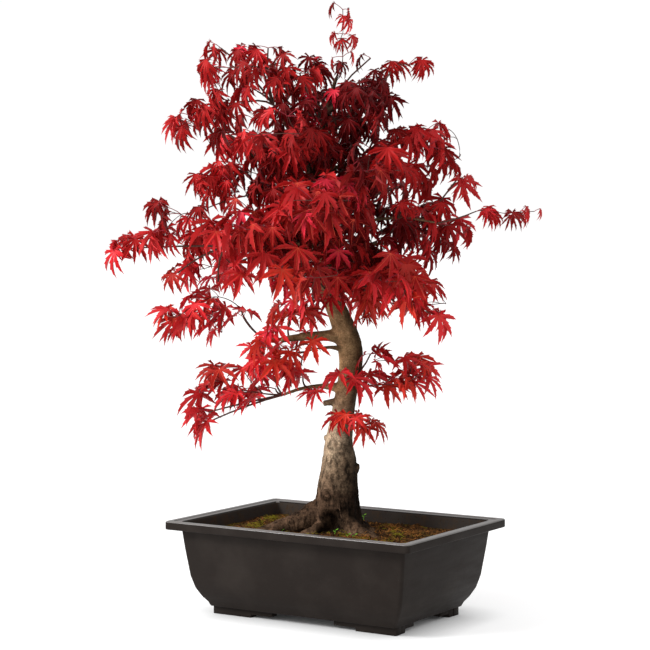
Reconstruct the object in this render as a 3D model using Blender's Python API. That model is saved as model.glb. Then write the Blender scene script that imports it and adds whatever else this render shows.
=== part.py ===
"""Potted maple bonsai.

A small red-leaved maple tree trained as a bonsai in a plastic tray pot.
The pot stands on its feet at z = 0, its long side runs along X, and the
tree is turned CROWN_TURN degrees from the pot. Sizes below are millimetres.
"""
import math
import random

import bpy
import bmesh
from mathutils import Matrix, Vector
from mathutils.bvhtree import BVHTree

MM = 0.001
GAP = 0.3                 # clearance between neighbouring pieces

# ---- pot -------------------------------------------------------------
POT_LONG = 360.0
POT_SHORT = 255.0
POT_HEIGHT = 122.0
CORNER_RADIUS = 4.0
FLOOR_TOP = 14.5          # top of the pot's floor
SOIL_TOP = 108.0          # flat level of the soil under the tree
SOIL_DIP = 4.5            # how far the soil sinks away from the tree

# outside of the pot: (inset from the rim's edge, height)
POT_OUTSIDE = (
    (42.0, 10.6), (41.0, 12.2), (39.3, 16.2), (33.7, 23.3), (27.5, 34.7),
    (23.0, 50.5), (18.0, 86.0), (15.2, 110.0), (14.8, 118.6),
)
# rolled lip, hollow underneath, with a fine step on its top
POT_LIP = (
    (3.0, 118.6), (3.0, 111.2), (0.6, 111.2), (0.0, 112.0), (0.0, 120.8),
    (1.2, POT_HEIGHT), (7.4, POT_HEIGHT), (8.0, 120.9), (14.6, 120.9),
)
# inside of the pot down to its floor
POT_INSIDE = (
    (17.4, 119.0), (18.4, 110.0), (21.3, 86.0), (26.3, 50.5), (31.0, 34.7),
    (37.5, 23.3), (46.0, FLOOR_TOP),
)

FOOT_HEIGHT = 10.6
FOOT_CORNER = (136.0, 80.0)   # outer corner of a foot from the middle
FOOT_ARM_LONG = 58.0          # full-height run along the long side
FOOT_STEP_LONG = 32.0         # lower run beyond it
FOOT_ARM_SHORT = 24.0
FOOT_STEP_SHORT = 22.0
FOOT_STEP_RISE = 4.0          # clearance under the lower runs
FOOT_THICK = 13.0

# ---- trunk -----------------------------------------------------------
CROWN_TURN = 32.2         # degrees from the pot's long side to the tree's X
TRUNK_SIDES = 12
TRUNK_FOOT = 92.0         # start below the soil, cut off flat afterwards
# (height, sideways, backwards, radius) along the trunk in the tree's frame
TRUNK_LINE = (
    (TRUNK_FOOT, 3.0, 0.0, 37.0), (118.0, 2.5, 0.0, 31.5),
    (147.0, 1.8, 0.0, 27.0), (172.0, 3.0, 0.0, 24.2),
    (203.0, 4.4, -1.0, 21.0), (222.0, 3.6, -2.0, 17.6),
    (252.0, 7.7, -2.0, 14.9), (284.0, 13.0, 1.0, 14.0),
    (321.0, 19.0, 3.0, 14.8), (352.0, 16.0, 4.0, 16.4),
    (388.0, 3.0, 2.0, 14.6), (425.0, -12.0, 0.0, 12.6),
    (468.0, -9.5, -3.0, 10.9), (506.0, -10.5, -2.0, 9.6),
    (534.0, -18.0, 1.0, 8.6), (558.0, -28.5, 2.0, 7.2),
    (595.0, -23.0, 0.0, 4.4), (633.0, -15.3, -2.0, 3.5),
    (664.0, -7.0, -1.0, 2.9), (688.0, 1.0, 0.0, 2.4),
)
# surface roots: (compass, height it leaves the trunk, reach, thickness)
ROOTS = (
    (181.0, 146.0, 112.0, 15.5), (222.0, 126.0, 62.0, 12.0),
    (268.0, 128.0, 56.0, 12.5), (312.0, 134.0, 84.0, 13.0),
    (352.0, 124.0, 52.0, 11.5), (48.0, 126.0, 66.0, 12.0),
    (95.0, 128.0, 70.0, 12.0), (140.0, 130.0, 78.0, 13.0),
)
# cut stubs and burrs: (compass, height, length, radius)
STUBS = (
    (183.0, 276.0, 28.0, 3.8), (4.0, 192.0, 25.0, 6.0), (236.0, 160.0, 28.5, 6.5),
    (150.0, 230.0, 22.0, 4.5),
)

# ---- crown -----------------------------------------------------------
BOUGH_SIDES = 6
# Each mass: name, height of its bough on the trunk, compass, reach, rise of
# its middle above that height, half sizes (wide, deep, high), leaf scale,
# bough radius at the trunk (0 = grows straight from the trunk), leaves
MASSES = (
    ("apex", 684, 0, 7, 58, (25, 25, 50), 0.50, 0.0, 9),
    ("crown_right", 640, 5, 105, 55, (38, 32, 27), 0.70, 2.6, 6),
    ("crown_left", 594, 190, 92, 93, (61, 50, 47), 0.90, 5.0, 9),
    ("crown_mid", 622, 122, 35, 40, (43, 46, 42), 0.85, 0.0, 8),
    ("crown_near", 600, 320, 75, 51, (50, 46, 42), 0.90, 2.9, 11),
    ("crown_far", 579, 63, 103, 62, (60, 50, 47), 0.90, 3.2, 7),
    ("upper_left", 556, 174, 147, 70, (47, 46, 38), 0.85, 3.6, 9),
    ("upper_near", 570, 250, 95, 32, (62, 50, 41), 1.00, 3.5, 7),
    ("upper_right", 560, 358, 144, 29, (58, 52, 44), 1.00, 4.0, 12),
    ("upper_far", 562, 122, 139, 38, (62, 50, 45), 1.00, 4.0, 7),
    ("near_upper_right", 545, 301, 130, 12, (58, 48, 41), 1.00, 3.8, 8),
    ("mid_left", 526, 185, 122, 23, (57, 46, 32), 0.90, 3.6, 9),
    ("far_right_upper", 520, 52, 135, 24, (64, 50, 47), 1.00, 4.4, 7),
    ("far_left_upper", 505, 105, 142, 12, (64, 48, 45), 1.00, 4.2, 7),
    ("near_left", 482, 222, 131, 5, (62, 48, 39), 1.05, 4.2, 11),
    ("far_left", 470, 149, 172, -15, (64, 50, 39), 1.00, 4.6, 11),
    ("long_left", 455, 183, 207, 29, (62, 48, 46), 0.95, 5.2, 10),
    ("right_mid", 452, 10, 131, 39, (62, 48, 47), 1.00, 4.8, 12),
    ("sprig_right", 488, 350, 226, 23, (47, 32, 27), 0.70, 3.4, 7),
    ("near_mid", 500, 264, 126, 21, (53, 46, 41), 1.05, 4.2, 10),
    ("near_centre", 430, 254, 115, -2, (52, 48, 42), 1.15, 4.6, 10),
    ("near_right", 440, 313, 106, -18, (61, 46, 43), 1.15, 4.6, 11),
    ("far_low_right", 428, 74, 111, -8, (66, 48, 45), 1.00, 4.8, 7),
    ("droop_right", 415, 4, 127, -24, (35, 38, 40), 0.75, 3.2, 5),
    ("low_left", 358, 182, 187, 18, (61, 48, 43), 1.00, 6.0, 9),
    ("inner_left", 338, 209, 103, 3, (50, 40, 33), 0.80, 3.2, 6),
    ("pad_left", 289, 180, 131, -10, (82, 48, 46), 1.00, 4.6, 10),
    ("pad_right", 300, 352, 60, 3, (61, 42, 34), 0.90, 0.0, 10),
    ("low_near", 262, 283, 51, -12, (36, 34, 36), 0.72, 0.0, 5),
)
CUT_STUB_BOUGH = "low_left"     # the bough with a bare cut stub on it
CUT_STUB_LENGTH = 26.0
CUT_STUB_SAG = (0.0, -1.8, -6.5, -13.0, -7.0)  # that bough lies nearly level
CUT_STUB_RADIUS = 4.0
BOUGH_ENTERS = 0.62       # share of the way to a mass's middle
SEED = 417

# ---- leaves and twigs ------------------------------------------------
LEAF_LENGTH = 55.0        # middle lobe at leaf scale 1, about 1.3 times life
LEAF_THICK = 3.0          # at the joint of the lobes
# lobes as (angle from the middle lobe, length against the middle lobe)
LOBES = ((-98.0, 0.60), (-46.0, 0.92), (0.0, 1.0), (46.0, 0.92), (98.0, 0.60))
NOTCH = 0.42              # where two lobes part, against the middle lobe
LOBE_SAG = 0.22           # drop of a lobe's tip against its length
STALK_LENGTH = 17.0
STALK_RADIUS = 0.75
STALK_BEND = 42.0         # most that a blade hangs from its stalk's line
FORK_ANGLE = 28.0         # least angle between twigs that share a knot
TWIG_RADIUS = 1.8
TWIG_SIDES = 3
TWIG_SPACING = 30.0       # least distance between two leaf-bearing knots
STEM_LENGTH = 20.0
STEM_TAPER = 0.8
KNOT = 7.0                # neighbours may meet this close to the knot they share
LEAF_REACH = 1.22         # how far the middle lobe may reach past its space
LEAF_TRIES = 40
LEAVES_A_KNOT = 2.4
FUSE_TRIES = 12

# ---- materials: colour, roughness ------------------------------------
POT_LOOK = ((0.035, 0.027, 0.024, 1.0), 0.48)
SOIL_LOOK = ((0.045, 0.024, 0.012, 1.0), 0.95)
BARK_LOOK = ((0.16, 0.095, 0.045, 1.0), 0.85)
TWIG_LOOK = ((0.09, 0.045, 0.025, 1.0), 0.8)
LEAF_LOOK = ((0.42, 0.02, 0.03, 1.0), 0.5)


def clear_scene():
    for obj in list(bpy.data.objects):
        bpy.data.objects.remove(obj, do_unlink=True)


def new_collection(name):
    group = bpy.data.collections.new(name)
    bpy.context.scene.collection.children.link(group)
    return group


def principled(name, look):
    colour, rough = look
    mat = bpy.data.materials.new(name)
    mat.use_nodes = True
    mat.diffuse_color = colour
    shader = mat.node_tree.nodes["Principled BSDF"]
    shader.inputs["Base Color"].default_value = colour
    shader.inputs["Roughness"].default_value = rough
    shader.inputs["Metallic"].default_value = 0.0
    return mat


def tree_to_pot(x, y, z):
    """Millimetres in the tree's frame to metres in the pot's frame."""
    turn = math.radians(CROWN_TURN)
    px = x * math.cos(turn) - y * math.sin(turn)
    py = x * math.sin(turn) + y * math.cos(turn)
    return Vector((px * MM, py * MM, z * MM))


def object_from_bmesh(name, bm, group):
    bmesh.ops.recalc_face_normals(bm, faces=bm.faces[:])
    mesh = bpy.data.meshes.new(name)
    bm.to_mesh(mesh)
    bm.free()
    obj = bpy.data.objects.new(name, mesh)
    group.objects.link(obj)
    return obj


def drop(obj):
    bpy.data.objects.remove(obj, do_unlink=True)


def apply_boolean(obj, operation, solver, other=None, group=None):
    """Apply one Boolean to obj and keep the result as its mesh."""
    mod = obj.modifiers.new("cut", "BOOLEAN")
    mod.operation = operation
    mod.solver = solver
    if group is None:
        mod.object = other
    else:
        mod.operand_type = "COLLECTION"
        mod.collection = group
    bpy.context.view_layer.update()
    graph = bpy.context.evaluated_depsgraph_get()
    mesh = bpy.data.meshes.new_from_object(obj.evaluated_get(graph))
    obj.modifiers.clear()
    old = obj.data
    obj.data = mesh
    mesh.name = old.name
    bpy.data.meshes.remove(old)


# ---- stacked rounded rectangles: pot and soil ------------------------
def rounded_rectangle(bm, half_x, half_y, z, radius):
    """One face with rounded corners, made from a bevelled rectangle."""
    made = bmesh.ops.create_grid(bm, x_segments=1, y_segments=1, size=1.0)
    for vert in made["verts"]:
        vert.co = Vector((vert.co.x * half_x, vert.co.y * half_y, z)) * MM
    bmesh.ops.bevel(
        bm, geom=made["verts"], offset=radius * MM, offset_type="OFFSET",
        segments=2, profile=0.5, affect="VERTICES", clamp_overlap=True,
    )
    bm.faces.ensure_lookup_table()
    return bm.faces[0]


def stack_solid(name, rings, group):
    """Extrude a rounded rectangle through (inset, height) rings."""
    bm = bmesh.new()
    inset, z = rings[0]
    half = (POT_LONG / 2 - inset, POT_SHORT / 2 - inset)
    bottom = rounded_rectangle(bm, half[0], half[1], z, CORNER_RADIUS)
    top = bottom
    for inset, z in rings[1:]:
        size = (POT_LONG / 2 - inset, POT_SHORT / 2 - inset)
        made = bmesh.ops.extrude_face_region(bm, geom=[top])
        if top is not bottom:
            bmesh.ops.delete(bm, geom=[top], context="FACES_ONLY")
        top = [item for item in made["geom"] if isinstance(item, bmesh.types.BMFace)][0]
        for vert in top.verts:
            vert.co.x *= size[0] / half[0]
            vert.co.y *= size[1] / half[1]
            vert.co.z = z * MM
        half = size
    return object_from_bmesh(name, bm, group)


def box(name, low, high, group):
    bm = bmesh.new()
    made = bmesh.ops.create_cube(bm, size=1.0)
    for vert in made["verts"]:
        for axis in range(3):
            side = high[axis] if vert.co[axis] > 0 else low[axis]
            vert.co[axis] = side * MM
    return object_from_bmesh(name, bm, group)


def foot_boxes(sign_x, sign_y, group):
    """One corner foot: two runs at right angles, each with a lower step."""
    corner_x, corner_y = FOOT_CORNER
    top = FOOT_HEIGHT + 2.0
    runs = (
        (FOOT_ARM_LONG, FOOT_THICK, 0.0),
        (FOOT_ARM_LONG + FOOT_STEP_LONG, FOOT_THICK - 1.0, FOOT_STEP_RISE),
        (FOOT_THICK + 0.8, FOOT_ARM_SHORT, 0.0),
        (FOOT_THICK - 0.2, FOOT_ARM_SHORT + FOOT_STEP_SHORT, FOOT_STEP_RISE + 0.6),
    )
    made = []
    for number, (run_x, run_y, low_z) in enumerate(runs):
        trim = 0.4 * number
        xs = sorted((sign_x * (corner_x - trim), sign_x * (corner_x - run_x)))
        ys = sorted((sign_y * (corner_y - trim), sign_y * (corner_y - run_y)))
        made.append(box("foot", (xs[0], ys[0], low_z), (xs[1], ys[1], top + 0.1 * number), group))
    return made


def make_pot(group, scrap):
    rings = POT_OUTSIDE + POT_LIP + POT_INSIDE
    pot = stack_solid("pot", rings, group)
    extras = bpy.data.collections.new("feet")
    scrap.children.link(extras)
    made = []
    for sign_x in (-1, 1):
        for sign_y in (-1, 1):
            made += foot_boxes(sign_x, sign_y, extras)
    apply_boolean(pot, "UNION", "EXACT", group=extras)
    for piece in made:
        drop(piece)
    bpy.data.collections.remove(extras)
    tidy_mesh(pot)
    return pot


def make_soil(group, scrap):
    """Soil: a bumpy-topped block trimmed to the inside of the pot."""
    rng = random.Random(SEED)
    bm = bmesh.new()
    made = bmesh.ops.create_grid(bm, x_segments=11, y_segments=8, size=1.0)
    for vert in made["verts"]:
        x = vert.co.x * (POT_LONG / 2 + 8)
        y = vert.co.y * (POT_SHORT / 2 + 8)
        away = math.hypot(x / 150.0, y / 100.0)
        dip = SOIL_DIP * max(0.0, min(1.0, (away - 0.55) * 1.8))
        z = SOIL_TOP - dip * rng.uniform(0.25, 1.0)
        vert.co = Vector((x, y, z)) * MM
    base = bmesh.ops.extrude_face_region(bm, geom=bm.faces[:])
    for item in base["geom"]:
        if isinstance(item, bmesh.types.BMVert):
            item.co.z = (FLOOR_TOP - 10) * MM
    soil = object_from_bmesh("soil", bm, group)
    floor_inset = POT_INSIDE[-1][0]
    rings = [(floor_inset + 1.0, FLOOR_TOP + GAP)]
    for inset, z in reversed(POT_INSIDE[:-1]):
        rings.append((inset + GAP + 0.25, z))
    inside = stack_solid("pot_inside", rings, scrap)
    apply_boolean(soil, "INTERSECT", "EXACT", other=inside)
    drop(inside)
    tidy_mesh(soil)
    return soil


# ---- limbs -----------------------------------------------------------
def tube(name, points, radii, sides, group):
    """Closed tapering tube through points in metres, radii in millimetres."""
    curve = bpy.data.curves.new(name, "CURVE")
    curve.dimensions = "3D"
    curve.bevel_depth = 1.0
    curve.bevel_resolution = (sides - 4) // 2
    curve.use_fill_caps = True
    spline = curve.splines.new("POLY")
    spline.points.add(len(points) - 1)
    for knot, place, radius in zip(spline.points, points, radii):
        knot.co = (place.x, place.y, place.z, 1.0)
        knot.radius = radius * MM
    source = bpy.data.objects.new(name, curve)
    group.objects.link(source)
    bpy.context.view_layer.update()
    graph = bpy.context.evaluated_depsgraph_get()
    mesh = bpy.data.meshes.new_from_object(source.evaluated_get(graph))
    drop(source)
    bpy.data.curves.remove(curve)
    bm = bmesh.new()
    bm.from_mesh(mesh)
    bpy.data.meshes.remove(mesh)
    bmesh.ops.remove_doubles(bm, verts=bm.verts[:], dist=0.00001)
    return object_from_bmesh(name, bm, group)


def trunk_at(height):
    """Trunk axis (tree frame) and radius at a height."""
    rows = TRUNK_LINE
    if height <= rows[0][0]:
        return rows[0][1], rows[0][2], rows[0][3]
    for low, high in zip(rows, rows[1:]):
        if height <= high[0]:
            part = (height - low[0]) / (high[0] - low[0])
            return tuple(low[i] + (high[i] - low[i]) * part for i in (1, 2, 3))
    return rows[-1][1], rows[-1][2], rows[-1][3]


def trunk_tube(name, grow, group):
    points = [tree_to_pot(x, y, z) for z, x, y, radius in TRUNK_LINE]
    radii = [radius + grow for z, x, y, radius in TRUNK_LINE]
    if grow > 0:
        points[-1] = points[-1] + Vector((0, 0, grow * MM))
    return tube(name, points, radii, TRUNK_SIDES, group)


def polar(compass, reach):
    angle = math.radians(compass)
    return reach * math.cos(angle), reach * math.sin(angle)


def root_tube(compass, height, reach, thick, group):
    """A surface root: leaves the trunk and dives into the soil."""
    x0, y0, radius = trunk_at(height)
    places = []
    radii = []
    steps = 5
    for step in range(steps + 1):
        t = step / steps
        bend = 7.0 * math.sin(t * 3.0 + compass)
        dx, dy = polar(compass + bend, reach * t)
        z = SOIL_TOP - 3.0 + (height - SOIL_TOP + 3.0) * (1.0 - t) ** 2.1
        places.append(tree_to_pot(x0 + dx, y0 + dy, z))
        radii.append(thick * (1.0 - t) ** 0.7 + 3.2)
    return tube("root", places, radii, 6, group)


def stub_tube(compass, height, length, radius, group):
    x0, y0, inner = trunk_at(height)
    dx, dy = polar(compass, length)
    start = tree_to_pot(x0, y0, height)
    end = tree_to_pot(x0 + dx, y0 + dy, height - 4.0)
    return tube("stub", [start, end], [radius * 1.25, radius], 6, group)


def make_trunk(group, scrap):
    trunk = trunk_tube("trunk", 0.0, group)
    extras = bpy.data.collections.new("roots")
    scrap.children.link(extras)
    made = []
    for row in ROOTS:
        made.append(root_tube(*row, extras))
    for row in STUBS:
        made.append(stub_tube(*row, extras))
    apply_boolean(trunk, "UNION", "EXACT", group=extras)
    for piece in made:
        drop(piece)
    bpy.data.collections.remove(extras)
    below = box("below", (-200, -200, 40), (200, 200, SOIL_TOP + GAP), scrap)
    apply_boolean(trunk, "DIFFERENCE", "EXACT", other=below)
    drop(below)
    tidy_mesh(trunk)
    return trunk


def mass_middle(row):
    """Middle of a mass in the tree's frame, millimetres."""
    name, height, compass, reach, rise = row[:5]
    x0, y0, radius = trunk_at(height)
    dx, dy = polar(compass, reach)
    return Vector((x0 + dx, y0 + dy, height + rise))


def bough_line(row):
    """Points (tree frame) from the trunk's axis into the mass."""
    name, height, compass, reach, rise = row[:5]
    rng = random.Random(SEED + int(compass) + int(height))
    x0, y0, radius = trunk_at(height)
    start = Vector((x0, y0, height))
    end = start.lerp(mass_middle(row), BOUGH_ENTERS)
    length = (end - start).length
    side = Vector((-(end - start).y, (end - start).x, 0.0)).normalized()
    lift = 0.09 * length if rise < 60 else -0.12 * length
    sway = rng.uniform(-0.05, 0.05) * length
    steps = 4
    points = []
    for step in range(steps + 1):
        t = step / steps
        bow = 4.0 * t * (1.0 - t)
        kink = rng.uniform(-0.012, 0.012) * length if 0 < step < steps else 0.0
        rise_by = CUT_STUB_SAG[step] if name == CUT_STUB_BOUGH else lift * bow
        point = start.lerp(end, t) + Vector((0, 0, rise_by)) + side * (sway * bow + kink)
        points.append(point)
    return points


def bough_radii(row, count):
    base = row[7]
    tip = max(1.9, base * 0.48)
    return [base + (tip - base) * (i / (count - 1)) ** 0.8 for i in range(count)]


def make_bough(row, collar, group, scrap):
    points = bough_line(row)
    radii = bough_radii(row, len(points))
    places = [tree_to_pot(*p) for p in points]
    bough = tube("bough_" + row[0], places, radii, BOUGH_SIDES, group)
    if row[0] == CUT_STUB_BOUGH:
        add_cut_stub(bough, points, scrap)
    apply_boolean(bough, "DIFFERENCE", "EXACT", other=collar)
    tidy_mesh(bough)
    return bough


def add_cut_stub(bough, points, scrap):
    """A sawn-off side limb, pointing on and down from the bough's bend."""
    along = (points[2] - points[1]).normalized()
    end = points[2] + along * CUT_STUB_LENGTH + Vector((0.0, -6.0, -2.0))
    places = [tree_to_pot(*points[2]), tree_to_pot(*end)]
    stub = tube("cut_stub", places, [CUT_STUB_RADIUS, CUT_STUB_RADIUS * 0.9], BOUGH_SIDES, scrap)
    apply_boolean(bough, "UNION", "EXACT", other=stub)
    drop(stub)


# ---- solids check ----------------------------------------------------
def tidy_mesh(obj):
    """Merge strays, drop loose scrap and sealed hollows, triangulate."""
    bm = bmesh.new()
    bm.from_mesh(obj.data)
    bmesh.ops.remove_doubles(bm, verts=bm.verts[:], dist=0.00001)
    bmesh.ops.dissolve_degenerate(bm, edges=bm.edges[:], dist=0.00001)
    keep = largest_shell(bm)
    extra = [face for face in bm.faces if face not in keep]
    if extra:
        bmesh.ops.delete(bm, geom=extra, context="FACES")
    loose = [vert for vert in bm.verts if not vert.link_faces]
    bmesh.ops.delete(bm, geom=loose, context="VERTS")
    bmesh.ops.triangulate(bm, faces=bm.faces[:])
    bmesh.ops.recalc_face_normals(bm, faces=bm.faces[:])
    bm.to_mesh(obj.data)
    bm.free()
    obj.data.update()


def largest_shell(bm):
    """Faces of the shell with the most faces."""
    seen = set()
    best = set()
    for face in bm.faces:
        if face in seen:
            continue
        shell = {face}
        todo = [face]
        while todo:
            item = todo.pop()
            for edge in item.edges:
                for other in edge.link_faces:
                    if other not in shell:
                        shell.add(other)
                        todo.append(other)
        seen |= shell
        if len(shell) > len(best):
            best = shell
    return best


def is_clean(obj):
    """Closed, two faces on every edge, one fan of faces on every vertex."""
    bm = bmesh.new()
    bm.from_mesh(obj.data)
    good = len(bm.faces) > 20
    good = good and all(edge.is_manifold for edge in bm.edges)
    good = good and all(vert.is_manifold for vert in bm.verts)
    good = good and len(largest_shell(bm)) == len(bm.faces)
    good = good and bm.calc_volume(signed=True) > 0
    good = good and not own_crossing(bm)
    bm.free()
    return good


def own_crossing(bm):
    """True where two faces that share no vertex cross."""
    skin = BVHTree.FromBMesh(bm)
    bm.faces.ensure_lookup_table()
    for a, b in skin.overlap(skin):
        if a < b:
            first = set(bm.faces[a].verts)
            if not first.intersection(bm.faces[b].verts):
                return True
    return False


# ---- leaves and twigs ------------------------------------------------
def rim_corners(length):
    """Tips and notches of the blade in order, then the two stalk corners."""
    corners = []
    for number, (angle, share) in enumerate(LOBES):
        turn = math.radians(angle)
        reach = length * share
        corners.append(Vector((reach * math.cos(turn), reach * math.sin(turn), -LOBE_SAG * reach)))
        if number + 1 < len(LOBES):
            turn = math.radians((angle + LOBES[number + 1][0]) / 2)
            reach = length * NOTCH
            corners.append(Vector((reach * math.cos(turn), reach * math.sin(turn), -0.04 * reach)))
    corners.append(Vector((-2.0, 1.3, 0.0)))
    corners.append(Vector((-2.0, -1.3, 0.0)))
    return corners


def leaf_blank(thicker=1.0, wider=1.0):
    """A five-lobed leaf with its stalk; joint at the origin, middle lobe on +X.

    The last four points are the stalk's end ring, placed for each leaf.
    """
    corners = rim_corners(LEAF_LENGTH * wider)
    bm = bmesh.new()
    bmesh.ops.create_cone(
        bm, cap_ends=True, cap_tris=True, segments=len(corners),
        radius1=1.0, radius2=0.0, depth=1.0,
    )
    rim = [v for v in bm.verts if math.hypot(v.co.x, v.co.y) > 0.5]
    rim.sort(key=lambda v: math.atan2(v.co.y, v.co.x) % math.tau)
    for vert in bm.verts:
        if vert not in rim:
            vert.co = Vector((0, 0, math.copysign(LEAF_THICK / 2 * thicker, vert.co.z)))
    for vert, corner in zip(rim, corners):
        vert.co = corner
    bmesh.ops.triangulate(bm, faces=bm.faces[:])
    bmesh.ops.recalc_face_normals(bm, faces=bm.faces[:])
    back = [f for f in bm.faces if rim[-1] in f.verts and rim[-2] in f.verts]
    bmesh.ops.delete(bm, geom=back, context="FACES")
    hole = [edge for edge in bm.edges if edge.is_boundary]
    made = bmesh.ops.extrude_edge_only(bm, edges=hole)["geom"]
    ring = [item for item in made if isinstance(item, bmesh.types.BMVert)]
    ends = sorted(ring, key=lambda v: math.atan2(v.co.z, v.co.y) % math.tau)
    for number, vert in enumerate(ends):
        turn = math.tau * number / 4
        vert.co = Vector((-STALK_LENGTH, math.cos(turn), math.sin(turn)))
    bmesh.ops.edgeloop_fill(bm, edges=[e for e in bm.edges if e.is_boundary])
    bmesh.ops.triangulate(bm, faces=bm.faces[:])
    bmesh.ops.recalc_face_normals(bm, faces=bm.faces[:])
    others = [v for v in bm.verts if v not in ends]
    order = {vert: number for number, vert in enumerate(others + ends)}
    points = [v.co.copy() for v in others + ends]
    faces = [tuple(order[v] for v in f.verts) for f in bm.faces]
    bm.free()
    return points, faces


def place_leaf(blank, knot, stalk, along, facing, scale, trim, thick):
    """A leaf set at its stalk's far end; everything in the tree's frame."""
    x = along.normalized()
    z = (facing - x * facing.dot(x)).normalized()
    y = z.cross(x)
    turn = Matrix((x, y, z)).transposed() * scale
    joint = knot + stalk * STALK_LENGTH * scale
    points = [joint + turn @ point for point in blank[0][:-4]]
    side = (y - stalk * y.dot(stalk)).normalized()
    over = stalk.cross(side)
    ring = knot + stalk * trim
    for way in (side, over, -side, -over):
        points.append(ring + way * thick)
    return [tree_to_pot(*point) for point in points], blank[1]


def cone_shape(start, end, r_start, r_end, sides):
    """Points and faces of a tapering stick between two points in metres."""
    bm = bmesh.new()
    along = end - start
    turn = along.to_track_quat("Z", "X").to_matrix().to_4x4()
    place = Matrix.Translation((start + end) / 2) @ turn
    bmesh.ops.create_cone(
        bm, cap_ends=True, cap_tris=False, segments=sides,
        radius1=r_start * MM, radius2=r_end * MM, depth=along.length, matrix=place,
    )
    bm.verts.index_update()
    points = [v.co.copy() for v in bm.verts]
    faces = [tuple(v.index for v in f.verts) for f in bm.faces]
    bm.free()
    return points, faces


def stick(start, end, r_start, r_end, sides):
    """Tapering stick between two points in the tree's frame."""
    return cone_shape(tree_to_pot(*start), tree_to_pot(*end), r_start, r_end, sides)


def skin_of(shape):
    return BVHTree.FromPolygons(shape[0], shape[1])


def touches(skin, others):
    return any(skin.overlap(other) for other in others)


def away_from(point, row):
    """Distance from a mass's middle, 1 at the edge of its space."""
    middle = mass_middle(row)
    half = row[5]
    gap = point - middle
    return math.sqrt((gap.x / half[0]) ** 2 + (gap.y / half[1]) ** 2 + (gap.z / half[2]) ** 2)


def in_own_space(point, row, reach):
    here = away_from(point, row)
    if here > reach:
        return False
    return all(here <= away_from(point, other) + 0.12 for other in MASSES if other is not row)


def leaf_points(row, count, rng):
    """Seeded points through a mass, spaced apart, its furthest edges first."""
    middle = mass_middle(row)
    half = row[5]
    outward = Vector(polar(row[2], 1.0) + (0.0,))
    chosen = []
    wanted = [outward, Vector((0, 0, 1)), outward + Vector((0, 0, -0.7))]
    wanted += [outward.cross(Vector((0, 0, 1))), Vector((0, 0, 1)).cross(outward)]
    for attempt in range(600):
        if attempt < len(wanted):
            heading = wanted[attempt].normalized()
            depth = 0.5
        else:
            heading = Vector((rng.gauss(0, 1), rng.gauss(0, 1), rng.gauss(0, 1))).normalized()
            depth = 0.68 * rng.random() ** 0.45
        point = middle + Vector([heading[i] * half[i] * depth for i in range(3)])
        point.z += 0.2 * half[2]
        if not in_own_space(point, row, 0.95):
            continue
        if all((point - other).length > TWIG_SPACING * min(1.0, row[6] + 0.1) for other in chosen):
            chosen.append(point)
        if len(chosen) >= count:
            break
    return chosen


def leaf_heading(point, row, side, rng):
    """Stalk direction, middle-lobe direction and facing of a leaf at a knot."""
    half = row[5]
    gap = point - mass_middle(row)
    out = Vector((gap.x / half[0], gap.y / half[1], 0.0))
    out += 0.7 * Vector(polar(row[2], 1.0) + (0.0,))
    angle = math.atan2(out.y, out.x) + math.radians(side * rng.uniform(20, 75) + rng.uniform(-25, 25))
    out = Vector((math.cos(angle), math.sin(angle), 0.0))
    rise = math.radians(rng.uniform(-34, 24))
    droop = math.radians(rng.uniform(10, STALK_BEND)) - rise
    stalk = out * math.cos(rise) + Vector((0, 0, math.sin(rise)))
    along = out * math.cos(droop) + Vector((0, 0, -math.sin(droop)))
    facing = out * math.sin(droop) + Vector((0, 0, math.cos(droop)))
    facing += along.cross(facing) * rng.uniform(-0.5, 0.5)
    return stalk, along, facing


def stem_start(row):
    """Start, direction, radius and length of a mass's stem (tree frame)."""
    if row[7] > 0:
        points = bough_line(row)
        along = (points[-1] - points[-2]).normalized()
        radius = bough_radii(row, len(points))[-1]
        return points[-1] + along * GAP, along, radius, STEM_LENGTH
    height = min(row[1], TRUNK_LINE[-1][0] - 3.0)
    x0, y0, girth = trunk_at(height)
    start = Vector((x0, y0, height))
    return start, (mass_middle(row) - start).normalized(), 1.9, girth + STEM_LENGTH * 0.7


def stem_shape(row, wider):
    start, along, radius, length = stem_start(row)
    return stick(start, start + along * length, radius + wider, radius * STEM_TAPER + wider, 6)


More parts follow.
